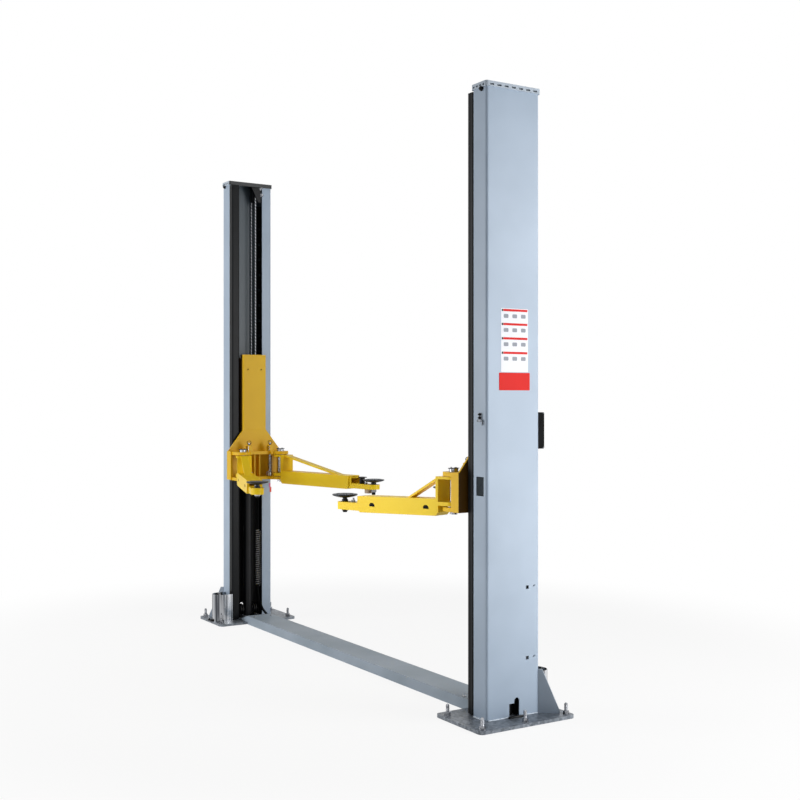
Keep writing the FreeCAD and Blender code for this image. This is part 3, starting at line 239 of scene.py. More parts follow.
def make_materials():
    made = {}
    made["column_coat"] = column_coat()
    made["cap_coat"] = cap_coat()
    made["carriage_coat"] = carriage_coat()

    # Baked primer on the corner gussets: a duller, bluer grey than the columns.
    made["foot_coat"] = smooth_coat("Blue grey primer", "#9fabb9", "#94a1af", 0.42)

    # Satin enamel on the floor cover's folded sheet: blue grey, with hardly a sheen along its trodden top.
    made["cover_coat"] = smooth_coat("Pale grey satin coat", "#a9b5c2", "#9ba8b4", 0.45, specular=0.1)

    # Polyester powder baked on the arms: bright and even, with little sheen.
    made["arm_coat"] = smooth_coat("Yellow powder coat", "#fbd71e", "#f6cd14", 0.42, specular=0.25)

    # Brushed-on satin enamel of cylinders, racks and small bolts: nearly black, with a narrow sheen.
    made["black_coat"] = smooth_coat("Black satin enamel", "#111215", "#0a0b0d", 0.36, specular=0.22)

    # Calendered vinyl film of the notice and the load plate: flat, even and without grain.
    made["label_white"] = smooth_coat("White vinyl film", "#f3f5fb", "#eef1f9", 0.5, 0.5, 0.8, 0.01)
    made["label_red"] = smooth_coat("Red vinyl film", "#e62d29", "#dd2723", 0.6, 0.15, 0.8, 0.01)
    made["label_grey"] = smooth_coat("Grey vinyl film", "#8f959f", "#858b95", 0.5, 0.5, 0.8, 0.01)

    # Die-cut PVC sheet of the small tags: a strong colour with a soft shine.
    made["tag_red"] = smooth_coat("Orange red PVC tag", "#f0503a", "#e54632", 0.4)
    made["tag_pink"] = smooth_coat("Pink PVC tag", "#e8649a", "#dd5a90", 0.4)

    # Zinc on spring wire, coloured near white: a painted highlight in place of the coil's glints.
    made["painted_glint_spring"] = smooth_coat("Spring zinc painted pale for glints", "#f0f2f5", "#dfe3e8", 0.3)
    made["zinc"] = galvanised()

    # Electroplated zinc on bolts, pins and rods: a clear bright grey, half blurred.
    made["bright_steel"] = plated_steel("Bright zinc plating", "#6e7075", "#b2b4b9", 0.14, 0.3)

    # Rolled stainless sheet of the shrouds: polish lines drawn out upright, coarse enough to show.
    made["shroud_chrome"] = plated_steel(
        "Polished stainless sheet", "#4a4d52", "#e4e6ea", 0.1, 0.24, stretch=(1, 1, 40))

    # Weld metal: dull grey, ripple shown by the bead's own shape.
    made["weld"] = plated_steel("Painted weld bead", "#8c949c", "#a3abb3", 0.4, 0.6)

    # Phosphated steel of the pads: dark, with a dull shine.
    material, tree, shader = new_material("Phosphated steel", Metallic=0.7, Roughness=0.34)
    tone = add_ramp(tree, add_noise(tree, 18, 3.0), [(0.3, "#121417"), (0.7, "#272a2f")])
    tree.links.new(tone, shader.inputs["Base Color"])
    made["pad_steel"] = material

    # Stranded steel rope: a tight twist drawn coarse enough to show.
    material, tree, shader = new_material("Greased steel rope", Metallic=0.5, Roughness=0.4)
    twist = add_node(tree, "ShaderNodeTexWave", {"bands_direction": "DIAGONAL"}, {
        "Vector": object_place(tree), "Scale": 30.0, "Distortion": 0.0})
    tone = add_ramp(tree, twist.outputs["Fac"], [(0.2, "#55585d"), (0.8, "#d3d6db")])
    tree.links.new(tone, shader.inputs["Base Color"])
    add_bump(tree, shader, twist.outputs["Fac"], 0.8)
    made["rope"] = material

    # Extruded EPDM rubber: near black with a dusty bloom.
    material, tree, shader = new_material(
        "Black extruded rubber", Roughness=0.34, IOR=1.5, Specular_IOR_Level=0.12)
    tone = add_ramp(tree, add_noise(tree, 60, 4.0), [(0.3, "#090b0d"), (0.75, "#101316")])
    tree.links.new(tone, shader.inputs["Base Color"])
    made["rubber"] = material

    # Moulded pad rubber, scuffed pale where cars have rested on it.
    material, tree, shader = new_material("Scuffed pad rubber", Roughness=0.4, IOR=1.5)
    tone = add_ramp(tree, add_noise(tree, 30, 3.0), [(0.35, "#3a3d42"), (0.7, "#63686f")])
    tree.links.new(tone, shader.inputs["Base Color"])
    add_bump(tree, shader, add_noise(tree, 3, 2.0), 0.08)
    made["pad_rubber"] = material

    # Oil-filled nylon wear block: waxy dark grey.
    material, tree, shader = new_material("Oil-filled nylon", Roughness=0.42)
    tone = add_ramp(tree, add_noise(tree, 20, 3.0), [(0.3, "#353d43"), (0.7, "#434c53")])
    tree.links.new(tone, shader.inputs["Base Color"])
    made["nylon"] = material

    # Cast polyurethane stop block: buff, faintly clouded.
    material, tree, shader = new_material("Buff polyurethane", Roughness=0.5)
    tone = add_ramp(tree, add_noise(tree, 12, 3.0), [(0.3, "#a8937f"), (0.7, "#bfa995")])
    tree.links.new(tone, shader.inputs["Base Color"])
    made["buff"] = material

    # Turned brass hose union, slightly tarnished.
    material, tree, shader = new_material("Turned brass", Metallic=1.0, Roughness=0.3)
    tone = add_ramp(tree, add_noise(tree, 14, 3.0), [(0.3, "#a88642"), (0.7, "#c9a65c")])
    tree.links.new(tone, shader.inputs["Base Color"])
    made["brass"] = material

    # Moulded ABS housing with a fine spark-eroded grain.
    material, tree, shader = new_material(
        "Black moulded ABS", Roughness=0.6, IOR=1.53, Specular_IOR_Level=0.06)
    tone = add_ramp(tree, add_noise(tree, 40, 2.0), [(0.3, "#060607"), (0.7, "#0b0b0d")])
    tree.links.new(tone, shader.inputs["Base Color"])
    add_bump(tree, shader, add_noise(tree, 1.2, 1.0), 0.05)
    made["abs"] = material

    # Slate grey polypropylene: the blind covers of the columns' windows.
    material, tree, shader = new_material(
        "Slate polypropylene", Roughness=0.6, IOR=1.49, Specular_IOR_Level=0.08)
    tone = add_ramp(tree, add_noise(tree, 40, 2.0), [(0.3, "#2c3338"), (0.7, "#353d42")])
    tree.links.new(tone, shader.inputs["Base Color"])
    made["slate"] = material
    return made


materials = make_materials()


def paint(obj, material):
    obj.data.materials.clear()
    obj.data.materials.append(materials[material])


def paint_nodes():
    finishes = {
        "column_": "column_coat", "cap_": "cap_coat", "base_plate_": "zinc",
        "base_gussets": "foot_coat", "pulley_shrouds": "shroud_chrome", "door_guards": "rubber",
        "lock_racks": "black_coat", "lock_releases": "bright_steel", "anchor_bolts": "bright_steel",
        "floor_cover": "cover_coat", "top_pulleys": "black_coat", "base_pulleys": "black_coat",
        "pulley_brackets": "black_coat", "equaliser_cables": "rope", "hydraulic_hose": "rubber",
        "hose_unions": "brass", "control_box": "abs", "lift_cylinder_": "black_coat",
        "cylinder_rod_": "bright_steel", "carriage_": "carriage_coat", "slide_blocks_": "nylon",
        "arm_pins_": "bright_steel", "arm_locks_": "bright_steel", "outer_arm_": "arm_coat",
        "inner_arm_": "arm_coat", "pad_": "pad_steel",
    }
    for name, obj in nodes.items():
        paint(obj, next(finish for start, finish in finishes.items() if name.startswith(start)))


paint_nodes()


# Modelling

def start_piece(name, primitive, **settings):
    """Adds a primitive under the piece's name, with nothing else selected."""
    bpy.ops.object.select_all(action="DESELECT")
    primitive(**settings)
    piece = bpy.context.object
    piece.name = name
    bpy.ops.object.transform_apply(location=True, rotation=True, scale=True)
    return piece


def block(name, centre, size):
    """A plain block in millimetres, to be shaped further."""
    return start_piece(
        name, bpy.ops.mesh.primitive_cube_add, size=1,
        location=[c * MM for c in centre], scale=[s * MM for s in size],
    )


def pick(piece, kind, wanted):
    """Edit mode with those faces (centre, normal) or edges (both ends) selected that are wanted."""
    bpy.ops.object.mode_set(mode="EDIT")
    bpy.ops.mesh.select_mode(type=kind)
    bpy.ops.mesh.select_all(action="DESELECT")
    bpy.ops.object.mode_set(mode="OBJECT")
    mesh = piece.data
    if kind == "FACE":
        for face in mesh.polygons:
            face.select = wanted(face.center, face.normal)
    else:
        for edge in mesh.edges:
            edge.select = wanted(*(mesh.vertices[i].co for i in edge.vertices))
    bpy.ops.object.mode_set(mode="EDIT")


def leave_edit():
    bpy.ops.mesh.select_all(action="SELECT")
    bpy.ops.mesh.normals_make_consistent(inside=False)
    bpy.ops.object.mode_set(mode="OBJECT")


def apply_modifier(piece, kind, **settings):
    modifier = piece.modifiers.new(kind.lower(), kind)
    for name, value in settings.items():
        setattr(modifier, name, value)
    bpy.ops.object.modifier_apply(modifier=modifier.name)


def ease_edges(piece, width, segments=2):
    """Breaks the sharp edges with a small round."""
    apply_modifier(piece, "BEVEL", width=width * MM, segments=segments, limit_method="ANGLE")


def round_corners(piece, axis, radius):
    """Rounds the edges that run along one axis, as on a cut sheet."""
    pick(piece, "EDGE", lambda a, b: abs((b - a).normalized()[axis]) > 0.99)
    bpy.ops.mesh.bevel(offset=radius * MM, segments=5, affect="EDGES")
    leave_edit()


def turned(name, rings, sides=24):
    """A turned piece: a disc drawn up ring by ring, each ring a radius and a height."""
    radius, height = rings[0]
    piece = start_piece(
        name, bpy.ops.mesh.primitive_circle_add, vertices=sides, radius=radius * MM,
        fill_type="NGON", location=(0, 0, height * MM),
    )
    bpy.ops.object.mode_set(mode="EDIT")
    bpy.ops.mesh.select_all(action="SELECT")
    for wide, high in rings[1:]:
        bpy.ops.mesh.extrude_region_move(TRANSFORM_OT_translate={"value": (0, 0, (high - height) * MM)})
        bpy.ops.transform.resize(value=(wide / radius, wide / radius, 1))
        radius, height = wide, high
    leave_edit()
    return piece


def hollow(name, rings, sides=24):
    """A turned ring: a circle drawn round a closed profile, back to where it started."""
    radius, height = rings[0]
    piece = start_piece(
        name, bpy.ops.mesh.primitive_circle_add, vertices=sides, radius=radius * MM,
        fill_type="NOTHING", location=(0, 0, height * MM),
    )
    bpy.ops.object.mode_set(mode="EDIT")
    bpy.ops.mesh.select_all(action="SELECT")
    for wide, high in (*rings[1:], rings[0]):
        bpy.ops.mesh.extrude_region_move(TRANSFORM_OT_translate={"value": (0, 0, (high - height) * MM)})
        bpy.ops.transform.resize(value=(wide / radius, wide / radius, 1))
        radius, height = wide, high
    bpy.ops.mesh.select_all(action="SELECT")
    bpy.ops.mesh.remove_doubles(threshold=0.01 * MM)
    leave_edit()
    return piece


def coiled(name, wire, radius, pitch, low, high, wire_sides, steps):
    """A coil spring along Z, its two ends closed."""
    spring = start_piece(
        name, bpy.ops.mesh.primitive_circle_add, vertices=wire_sides, radius=wire * MM,
        rotation=(math.radians(90), 0, 0), location=(radius * MM, 0, low * MM),
    )
    apply_modifier(spring, "SCREW", axis="Z", screw_offset=pitch * MM,
                   iterations=int((high - low) / pitch), steps=steps, render_steps=steps)
    bpy.ops.object.mode_set(mode="EDIT")
    bpy.ops.mesh.select_all(action="SELECT")
    bpy.ops.mesh.fill_holes(sides=0)
    leave_edit()
    return spring


def joined(first, *others):
    bpy.ops.object.select_all(action="DESELECT")
    for piece in (first, *others):
        piece.select_set(True)
    bpy.context.view_layer.objects.active = first
    bpy.ops.object.join()
    return first


def nut_on_stud(name, flats, height, washer, stud, reach):
    """A chamfered hexagon nut on its washer with the stud's end standing out of it, along Z."""
    corner = flats / math.sqrt(3)
    hexagon = turned(name, [
        (corner * 0.9, 2), (corner, 2 + height * 0.15), (corner, 2 + height * 0.85),
        (corner * 0.9, 2 + height)], 6)
    ring = turned("washer", [(washer, 0), (washer, 1.6), (washer - 0.5, 2.1)])
    stud_end = turned("stud", [(stud, 1), (stud, reach - 1.2), (stud - 1.2, reach)], 16)
    return joined(hexagon, ring, stud_end)


def ripple(radius, depth, pitch, low, high):
    """Rings of a thread or a weld bead from low to high."""
    rings = []
    height = low
    while height < high:
        rings += [(radius - depth, height), (radius, height + pitch / 2)]
        height += pitch
    return rings + [(radius - depth, high)]


def settle(piece, material, body, spot=(0, 0, 0), turn=(0, 0, 0)):
    """Puts the piece in its place in the mesh itself, paints it and lets it ride on a body."""
    bpy.ops.object.select_all(action="DESELECT")
    piece.select_set(True)
    bpy.context.view_layer.objects.active = piece
    piece.location = [value * MM for value in spot]
    piece.rotation_euler = [math.radians(angle) for angle in turn]
    bpy.ops.object.transform_apply(location=True, rotation=True, scale=True)
    bpy.ops.object.shade_smooth_by_angle(angle=math.radians(35))
    paint(piece, material)
    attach(piece, body)
    return piece


def copy_of(model, name):
    """A copy of the model with its own mesh."""
    twin = model.copy()
    twin.data = model.data.copy()
    twin.name = name
    bpy.context.scene.collection.objects.link(twin)
    return twin


def lay_out(model, material, places):
    """Sets a copy of the model in each place and takes the model away."""
    for number, (body, spot, turn) in enumerate(places, start=1):
        settle(copy_of(model, f"{model.name}_{number}"), material, body, spot, turn)
    bpy.data.objects.remove(model)


# Places that the frame gives, in millimetres

def corners_mm(node):
    low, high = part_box(node)
    return low / MM, high / MM


def arm_heading(name):
    along = joints[f"extend_{name}"]["axis"]
    return math.degrees(math.atan2(along[1], along[0]))


def on_arm(name, along, aside, height):
    """A place on an arm: along it from its pivot, to its left, and above the floor."""
    pivot = joints[f"swing_{name}"]["pos_m"]
    angle = math.radians(arm_heading(name))
    x = pivot[0] / MM + math.cos(angle) * along - math.sin(angle) * aside
    y = pivot[1] / MM + math.sin(angle) * along + math.cos(angle) * aside
    return (x, y, height)


def pad_middle(name):
    low, high = corners_mm(f"pad_{name}")
    return (low + high) / 2


column_low, column_high = corners_mm("column_right")
LIP = column_low.x
WEB = column_high.x
FLANGE = column_high.y
PLATE_TOP = corners_mm("base_plate_right")[1].z
LUG_TOP = 1094
LOCK_SPOT = (1200, 73)
PAD_NECK = 939
PAD_DISH = 953.2
OUT_OF_WEB = (0, 90, 0)
OUT_OF_FRONT = (90, 0, 0)
OUT_OF_REAR = (-90, 0, 0)


# Labels on the right column's web, without their words and drawings

def web_film(name, material, middle_y, middle_z, width, height, corner, lift):
    """A film with rounded corners on the web, its face lift above the steel."""
    film = block(name, (WEB + lift / 2, middle_y, middle_z), (lift, width, height))
    round_corners(film, 0, corner)
    settle(film, material, "stand")


def make_labels():
    web_film("notice_sheet", "label_white", 8, 1688, 150, 282, 4, 0.6)
    band_tops = (1826, 1764, 1701, 1637)
    for row, top in enumerate(band_tops, start=1):
        web_film(f"notice_band_{row}", "label_red", 12, top - 5, 134, 10, 1.5, 0.9)
        web_film(f"notice_mark_{row}", "black_coat", -60, top - 5, 8, 10, 1, 0.9)
        for column in range(3):
            web_film(
                f"notice_panel_{row}_{column + 1}", "label_grey", -40 + 48 * column, top - 31,
                26, 17, 4, 0.9,
            )
    web_film("load_plate", "label_red", 7, 1505, 170, 78, 3, 1.2)


# Latch, bolts and beads on the columns

def make_latches():
    """The lock release: two bolts one above the other on a small plate, and a hooked lever under them."""
    low, high = corners_mm("lock_releases")
    middle_x = high.x - 12
    height = (low.z + high.z) / 2 - 6
    plate = block("lock_latch", (0, 0, 0), (24, 30, 3))
    round_corners(plate, 2, 6)
    ease_edges(plate, 0.6)
    bar = block("lever_bar", (-2, -20, 4), (34, 11, 6))
    pick(bar, "FACE", lambda centre, normal: normal.x > 0.9)
    for shift in ((5, -3, 0), (2, -7, 0), (-5, -7, 0)):
        bpy.ops.mesh.extrude_region_move(TRANSFORM_OT_translate={"value": [v * MM for v in shift]})
    leave_edit()
    ease_edges(bar, 1.6)
    latch = joined(plate, bar)
    twin = copy_of(latch, "lock_latch_left")
    settle(latch, "zinc", "stand", (middle_x, -FLANGE - 1.5, height), OUT_OF_FRONT)
    settle(twin, "zinc", "stand", (-middle_x, FLANGE + 1.5, height), (90, 0, 180))
    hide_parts("lock_releases")
    bolt = nut_on_stud("latch_bolt", 11, 6, 6.5, 3.5, 12)
    lay_out(bolt, "black_coat", [
        ("stand", (side * middle_x, -side * (FLANGE + 2.7), height + rise), (90, 0, 0 if side > 0 else 180))
        for side in (1, -1) for rise in (7.5, -7)])


def make_top_bolts():
    """The pulley bolt's end, through the front flange near the top of each column."""
    bolt = nut_on_stud("pulley_bolt", 18, 8, 11.5, 6, 14)
    height = corners_mm("cap_right")[1].z - 30
    x = (LIP + WEB) / 2 + 18
    lay_out(bolt, "black_coat", [
        ("stand", (x, -FLANGE, height), OUT_OF_FRONT), ("stand", (-x, -FLANGE, height), OUT_OF_FRONT)])


def weld_bead(name, length, radius=4.0):
    return turned(name, ripple(radius, radius * 0.18, 6, 0, length), 10)


def make_weld_beads():
    """Beads where each column stands on its plate, and the seam across each carriage post."""
    width = 2 * FLANGE - 22
    depth = WEB - LIP - 20
    web_bead = weld_bead("foot_bead_web", width)
    lay_out(web_bead, "weld", [
        ("stand", (side * (WEB + 0.5), width / 2, PLATE_TOP + 0.5), OUT_OF_FRONT)
        for side in (1, -1)])
    flange_bead = weld_bead("foot_bead_flange", depth)
    lay_out(flange_bead, "weld", [
        ("stand", (side * (LIP + 10) - (depth if side < 0 else 0), hand * (FLANGE + 0.5), PLATE_TOP + 0.5),
         OUT_OF_WEB)
        for side in (1, -1) for hand in (1, -1)])
    seam_length = 148
    seam = weld_bead("post_seam", seam_length, 1.8)
    height = corners_mm("carriage_right")[0].z + 320
    post_front = LIP - 63
    lay_out(seam, "carriage_coat", [
        (f"carriage_{name}", (side * (post_front + 0.8), seam_length / 2, height), OUT_OF_FRONT)
        for name, side in SIDES.items()])


# Arm locks and pins on the carriages

def make_lock_springs():
    """The spring that holds each arm lock down."""
    spring = coiled("lock_spring", 2.4, 12.6, pitch=9.5, low=962, high=1070, wire_sides=8, steps=20)
    x, y = LOCK_SPOT
    lay_out(spring, "bright_steel", [
        (f"carriage_{name}", (side * x, hand * y, 0), (0, 0, 0))
        for name, side in SIDES.items() for hand in (1, -1)])


def make_lock_rings():
    """A pull ring on each lock, with the eye that holds it."""
    ring = start_piece(
        "pull_ring", bpy.ops.mesh.primitive_torus_add, major_radius=13.5 * MM, minor_radius=1.8 * MM,
        major_segments=36, minor_segments=10, rotation=(math.radians(90), 0, 0),
    )
    bpy.ops.object.mode_set(mode="EDIT")
    bpy.ops.mesh.select_all(action="SELECT")
    bpy.ops.transform.resize(value=(0.9, 1, 1.08))
    leave_edit()
    eye = turned("ring_eye", [(4.5, -1), (4.5, 2), (3, 4), (3, 7)], 16)
    eye.rotation_euler = (math.radians(90), 0, 0)
    eye.location = (0, 3.5 * MM, 11 * MM)
    ring = joined(ring, eye)
    x, y = LOCK_SPOT
    in_front, height = 17, 951
    lay_out(ring, "bright_steel", [
        (f"carriage_{name}", (side * x, hand * (y - in_front), height), (0, 0, 0 if hand > 0 else 180))
        for name, side in SIDES.items() for hand in (1, -1)])


def make_lock_loops():
    """The black wire loop by which each lock rod is lifted."""
    height = 1151
    loop = start_piece(
        "lock_loop", bpy.ops.mesh.primitive_torus_add, major_radius=12 * MM, minor_radius=1.8 * MM,
        major_segments=32, minor_segments=8, rotation=(0, math.radians(90), 0), location=(0, 0, height * MM),
    )
    bpy.ops.object.mode_set(mode="EDIT")
    bpy.ops.mesh.select_all(action="SELECT")
    bpy.ops.transform.resize(value=(1, 1.15, 0.9))
    leave_edit()
    foot = height - 16.5
    collar = turned("loop_collar", [(7.5, foot), (7.5, foot + 4.5), (6.6, foot + 6)], 20)
    x, y = LOCK_SPOT
    lay_out(joined(loop, collar), "black_coat", [
        (f"carriage_{name}", (side * x, hand * y, 0), (0, 0, 0))
        for name, side in SIDES.items() for hand in (1, -1)])


def make_pin_tops():
    """The keeper strap on each pivot pin, with its flat screw and a short grease nipple."""
    top = LUG_TOP + 15
    strap = block("pin_keeper", (0, 0, top + 1.5), (58, 26, 3))
    round_corners(strap, 2, 12)
    ease_edges(strap, 0.8)
    screw = turned("keeper_screw", [(7, top + 2.5), (7, top + 4), (5, top + 5.5), (2.5, top + 5.5),
                                    (2.4, top + 4)], 20)
    screw.location = (12 * MM, 0, 0)
    nipple = turned("grease_nipple", [
        (4, top + 2.5), (4, top + 4), (2.2, top + 5), (2.6, top + 7), (1.6, top + 8)], 12)
    nipple.location = (-14 * MM, 0, 0)
    keeper = joined(strap, screw, nipple)
    places = []
    for arm in ARMS:
        pivot_x, pivot_y = joints[f"swing_{arm}"]["pos_m"][:2]
        places.append((f"carriage_{arm.split('_')[0]}", (pivot_x / MM, pivot_y / MM, 0), (0, 0, 90)))
    lay_out(keeper, "black_coat", places)


# Pads and stops on the arms

def make_pad_tops():
    """The moulded rubber face in each pad's dish: an outer ring, a hub ring and eight spokes between."""
    floor = PAD_DISH + 0.6
    top = PAD_DISH + 4.4
    face = turned("pad_face", [
        (52.5, PAD_DISH), (52.5, top - 1), (51.5, top), (45, top), (44, top - 1), (44, floor), (17, floor),
        (17, top - 1), (16, top - 0.4), (10, top - 0.4), (9, top - 1.2), (9, floor), (2, floor)], 48)
    spokes = []
    spoke_count = 8
    for number in range(spoke_count):
        spoke = block(f"spoke_{number}", (30.5, 0, floor + 1.5), (29, 6, 3.4))
        ease_edges(spoke, 0.8)
        spoke.rotation_euler = (0, 0, math.radians(360 / spoke_count * number))
        spokes.append(spoke)
    lay_out(joined(face, *spokes), "pad_rubber", [
        (f"pad_{arm}", (*pad_middle(arm).xy, 0), (0, 0, arm_heading(arm))) for arm in ARMS])


def make_pads():
    """Each pad turned in one: screw with its thread, collar, bowl and rim; under the tongue its nut."""
    for arm in ARMS:
        low, high = corners_mm(f"pad_{arm}")
        rest = tongue_top(arm) + 0.6
        thread = ripple(12, 1.2, 3, low.z + 2, rest - 3)
        collar = [(15, rest), (16, rest + 1), (16, rest + 9), (15, rest + 10), (12, rest + 10)]
        bowl = [(12, PAD_NECK), (26, PAD_NECK + 0.5), (46, PAD_NECK + 4.5), (61, PAD_NECK + 10),
                (63, PAD_NECK + 11.5)]
        rim = [(63, high.z - 1.2), (61.8, high.z), (57.5, high.z), (56.3, high.z - 0.6), (53.5, high.z - 3)]
        pad = turned(f"pad_body_{arm}", [
            (9.5, low.z), *thread, (11.8, rest), *collar, *bowl, *rim, (2, high.z - 3)], 48)
        settle(pad, "pad_steel", f"pad_{arm}", (*pad_middle(arm).xy, 0))
        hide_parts(f"pad_{arm}")
        tongue_low = corners_mm(f"inner_arm_{arm}")[0].z
        depth = 9 if arm.endswith("front") else 17
        nut = hollow(f"tongue_nut_{arm}", [
            (13.4, tongue_low), (17, tongue_low), (17, tongue_low - depth + 2),
            (14.5, tongue_low - depth), (13.4, tongue_low - depth)], 6)
        settle(nut, "bright_steel" if arm.startswith("left") else "black_coat", f"extension_{arm}",
               (*pad_middle(arm).xy, 0), (0, 0, arm_heading(arm)))


def tongue_top(arm):
    """The height of the tongue's upper face, just under the pad's collar."""
    thickness = 37 if arm.endswith("front") else 28
    return corners_mm(f"inner_arm_{arm}")[0].z + thickness


def pad_distance(arm):
    pivot = Vector(joints[f"swing_{arm}"]["pos_m"]) / MM
    return (pad_middle(arm).xy - pivot.xy).length


def make_stop_bolts():
    """The bolt on each tongue that stops the inner arm, set back from the pad."""
    bolt = nut_on_stud("stop_bolt", 17, 9, 11, 5.5, 21)
    places = []
    for arm in ARMS:
        back = 57 if arm.endswith("front") else 66
        spot = on_arm(arm, pad_distance(arm) - back, 0, tongue_top(arm))
        places.append((f"extension_{arm}", spot, (0, 0, arm_heading(arm))))
    lay_out(bolt, "bright_steel", places)


def make_slot_shade_inserts():
    """Black inserts of painted shade in the oblong slots of the short arms, set a little back."""
    drop, reach = 16, 560
    fall = math.degrees(math.atan2(drop, reach))
    shade_insert = block("slot_shade_insert", (0, 0, 0), (32.6, 4, 16.6))
    pick(shade_insert, "EDGE", lambda a, b: a.z > 0 and b.z > 0 and abs(a.x - b.x) < 1e-6)
    bpy.ops.mesh.bevel(offset=7 * MM, segments=3, affect="EDGES")
    leave_edit()
    ease_edges(shade_insert, 0.5)
    places = []
    for arm in ("right_front", "left_front"):
        for along in (129, 465):
            for hand in (1, -1):
                spot = on_arm(arm, along, hand * 41.6, 931.5 - drop * along / reach)
                places.append((f"arm_{arm}", spot, (0, fall, arm_heading(arm))))
    # The black inserts are painted shade for the gap between the tubes, seen through each slot.
    lay_out(shade_insert, "abs", places)


def make_left_rear_stops():
    """The black latch on the long left arm's tongue and the buff buffer under it."""
    arm = "left_rear"
    distance = pad_distance(arm)
    top = tongue_top(arm)
    latch = block("tongue_latch", (0, 0, 17), (18, 30, 34))
    pick(latch, "FACE", lambda centre, normal: normal.z > 0.9)
    bpy.ops.mesh.extrude_region_move(TRANSFORM_OT_translate={"value": (3 * MM, 0, 2 * MM)})
    bpy.ops.transform.resize(value=(2.7, 1.1, 1))
    bpy.ops.mesh.extrude_region_move(TRANSFORM_OT_translate={"value": (0, 0, 5 * MM)})
    bpy.ops.transform.resize(value=(0.85, 0.9, 1))
    leave_edit()
    ease_edges(latch, 1.2)
    settle(latch, "black_coat", f"extension_{arm}", on_arm(arm, distance - 100, 0, top),
           (0, 0, arm_heading(arm)))
    buffer = block("tongue_buffer", (0, 0, -13), (38, 34, 26))
    round_corners(buffer, 2, 8)
    ease_edges(buffer, 1.5)
    low = corners_mm(f"inner_arm_{arm}")[0].z
    settle(buffer, "buff", f"extension_{arm}", on_arm(arm, distance - 46, 0, low),
           (0, 0, arm_heading(arm)))


# Fittings at the pulleys, the floor cover, the anchors and the hose

def make_hanger_nuts():
    """The two bolts that hold the pulley hanger, seen from the bay."""
    nut = nut_on_stud("hanger_nut", 19, 8, 12, 6, 15)
    top = corners_mm("pulley_brackets")[1].z
    front = LIP + 10
    lay_out(nut, "bright_steel", [
        ("stand", (side * front, -side * y, z), (0, -90 * side, 0))
        for side in (1, -1) for y, z in ((75, top - 22), (82, top - 66))])


def make_cover_screws():
    """Domed screws that fasten the floor cover's ends."""
    top = corners_mm("floor_cover")[1].z
    from_middle, from_axis = 1150, 58
    screw = turned("cover_screw", [(9, 0), (9, 1), (7, 3), (3.4, 4), (3, 2.6)], 20)
    lay_out(screw, "bright_steel", [
        ("stand", (side * from_middle, hand * from_axis, top), (0, 0, 0))
        for side in (1, -1) for hand in (1, -1)])


def make_anchor_threads():
    """The rolled thread on each anchor above its nut."""
    high = corners_mm("anchor_bolts")[1]
    washer, edge, plate_corner = 15, 31, 24
    thread = turned("anchor_thread", ripple(8.3, 0.9, 2.6, 32, high.z - 6), 16)
    inner = corners_mm("base_plate_right")[0].x + edge + plate_corner
    outer = high.x - washer
    spread = high.y - washer
    spots = [(outer, spread), (outer, -spread), (outer, 0), (inner, spread), (inner, -spread)]
    lay_out(thread, "bright_steel", [
        ("stand", (side * x, y, 0), (0, 0, 0)) for side in (1, -1) for x, y in spots])


def make_hose_guards():
    """The spring guard round the lower run of the hose in each column."""
    x, y = 1414, corners_mm("hydraulic_hose")[1].y - 8
    guard = coiled("hose_guard", 3.2, 15.5, pitch=14, low=205, high=570, wire_sides=6, steps=14)
    # The coil's near white colour is a painted highlight for its glints.
    lay_out(guard, "painted_glint_spring", [("stand", (side * x, y, 0), (0, 0, 0)) for side in (1, -1)])


def make_release_hose():
    """The hose that leaves the spring guard in the left column and bends into the floor cover."""
    start = (-1412, corners_mm("hydraulic_hose")[1].y - 10, 216)
    bend = 160
    hose = start_piece(
        "release_hose", bpy.ops.mesh.primitive_circle_add, vertices=14, radius=8 * MM, fill_type="NGON")
    bpy.ops.object.mode_set(mode="EDIT")
    bpy.ops.mesh.select_all(action="SELECT")
    bpy.ops.mesh.spin(steps=14, angle=math.radians(80), center=(bend * MM, 0, 0), axis=(0, 1, 0))
    bpy.ops.mesh.extrude_region_move(TRANSFORM_OT_translate={"value": (50 * MM, 0, -9 * MM)})
    leave_edit()
    settle(hose, "rubber", "stand", start, (0, 0, -8))


def make_shroud_bolts():
    """The two bolts at the foot of each pulley shroud."""
    low, high = corners_mm("pulley_shrouds")
    bolt = nut_on_stud("shroud_bolt", 16, 8, 10, 5, 14)
    lay_out(bolt, "black_coat", [
        ("stand", (side * x, low.y - 9 if side < 0 else high.y + 9, PLATE_TOP), (0, 0, 0))
        for side in (1, -1) for x in (abs(high.x) - 22, abs(high.x) - 58)])


def make_lip_tag():
    """The small tag on the left column's rear lip: a pink leaf over an orange red one."""
    for name, finish, y, z, width, height in (
        ("tag_upper", "tag_pink", 136, 865, 11, 28), ("tag_lower", "tag_red", 142, 836, 12, 34),
    ):
        leaf = block(name, (-LIP + 1, y, z), (2, width, height))
        round_corners(leaf, 0, 3)
        settle(leaf, finish, "stand")


def make_window_covers():
    """A blind cover set back in the window of each column's flanges."""
    cover = block("window_cover", (0, 0, 0), (53, 2, 82))
    round_corners(cover, 1, 3)
    pick(cover, "FACE", lambda centre, normal: normal.y < -0.9)
    bpy.ops.mesh.inset(thickness=4 * MM, depth=-0.6 * MM)
    leave_edit()
    x, height = 1394, 1041.5
    lay_out(cover, "slate", [
        ("stand", (side * x, -side * (FLANGE - 3.4), height), (0, 0, 0 if side > 0 else 180))
        for side in (1, -1)])


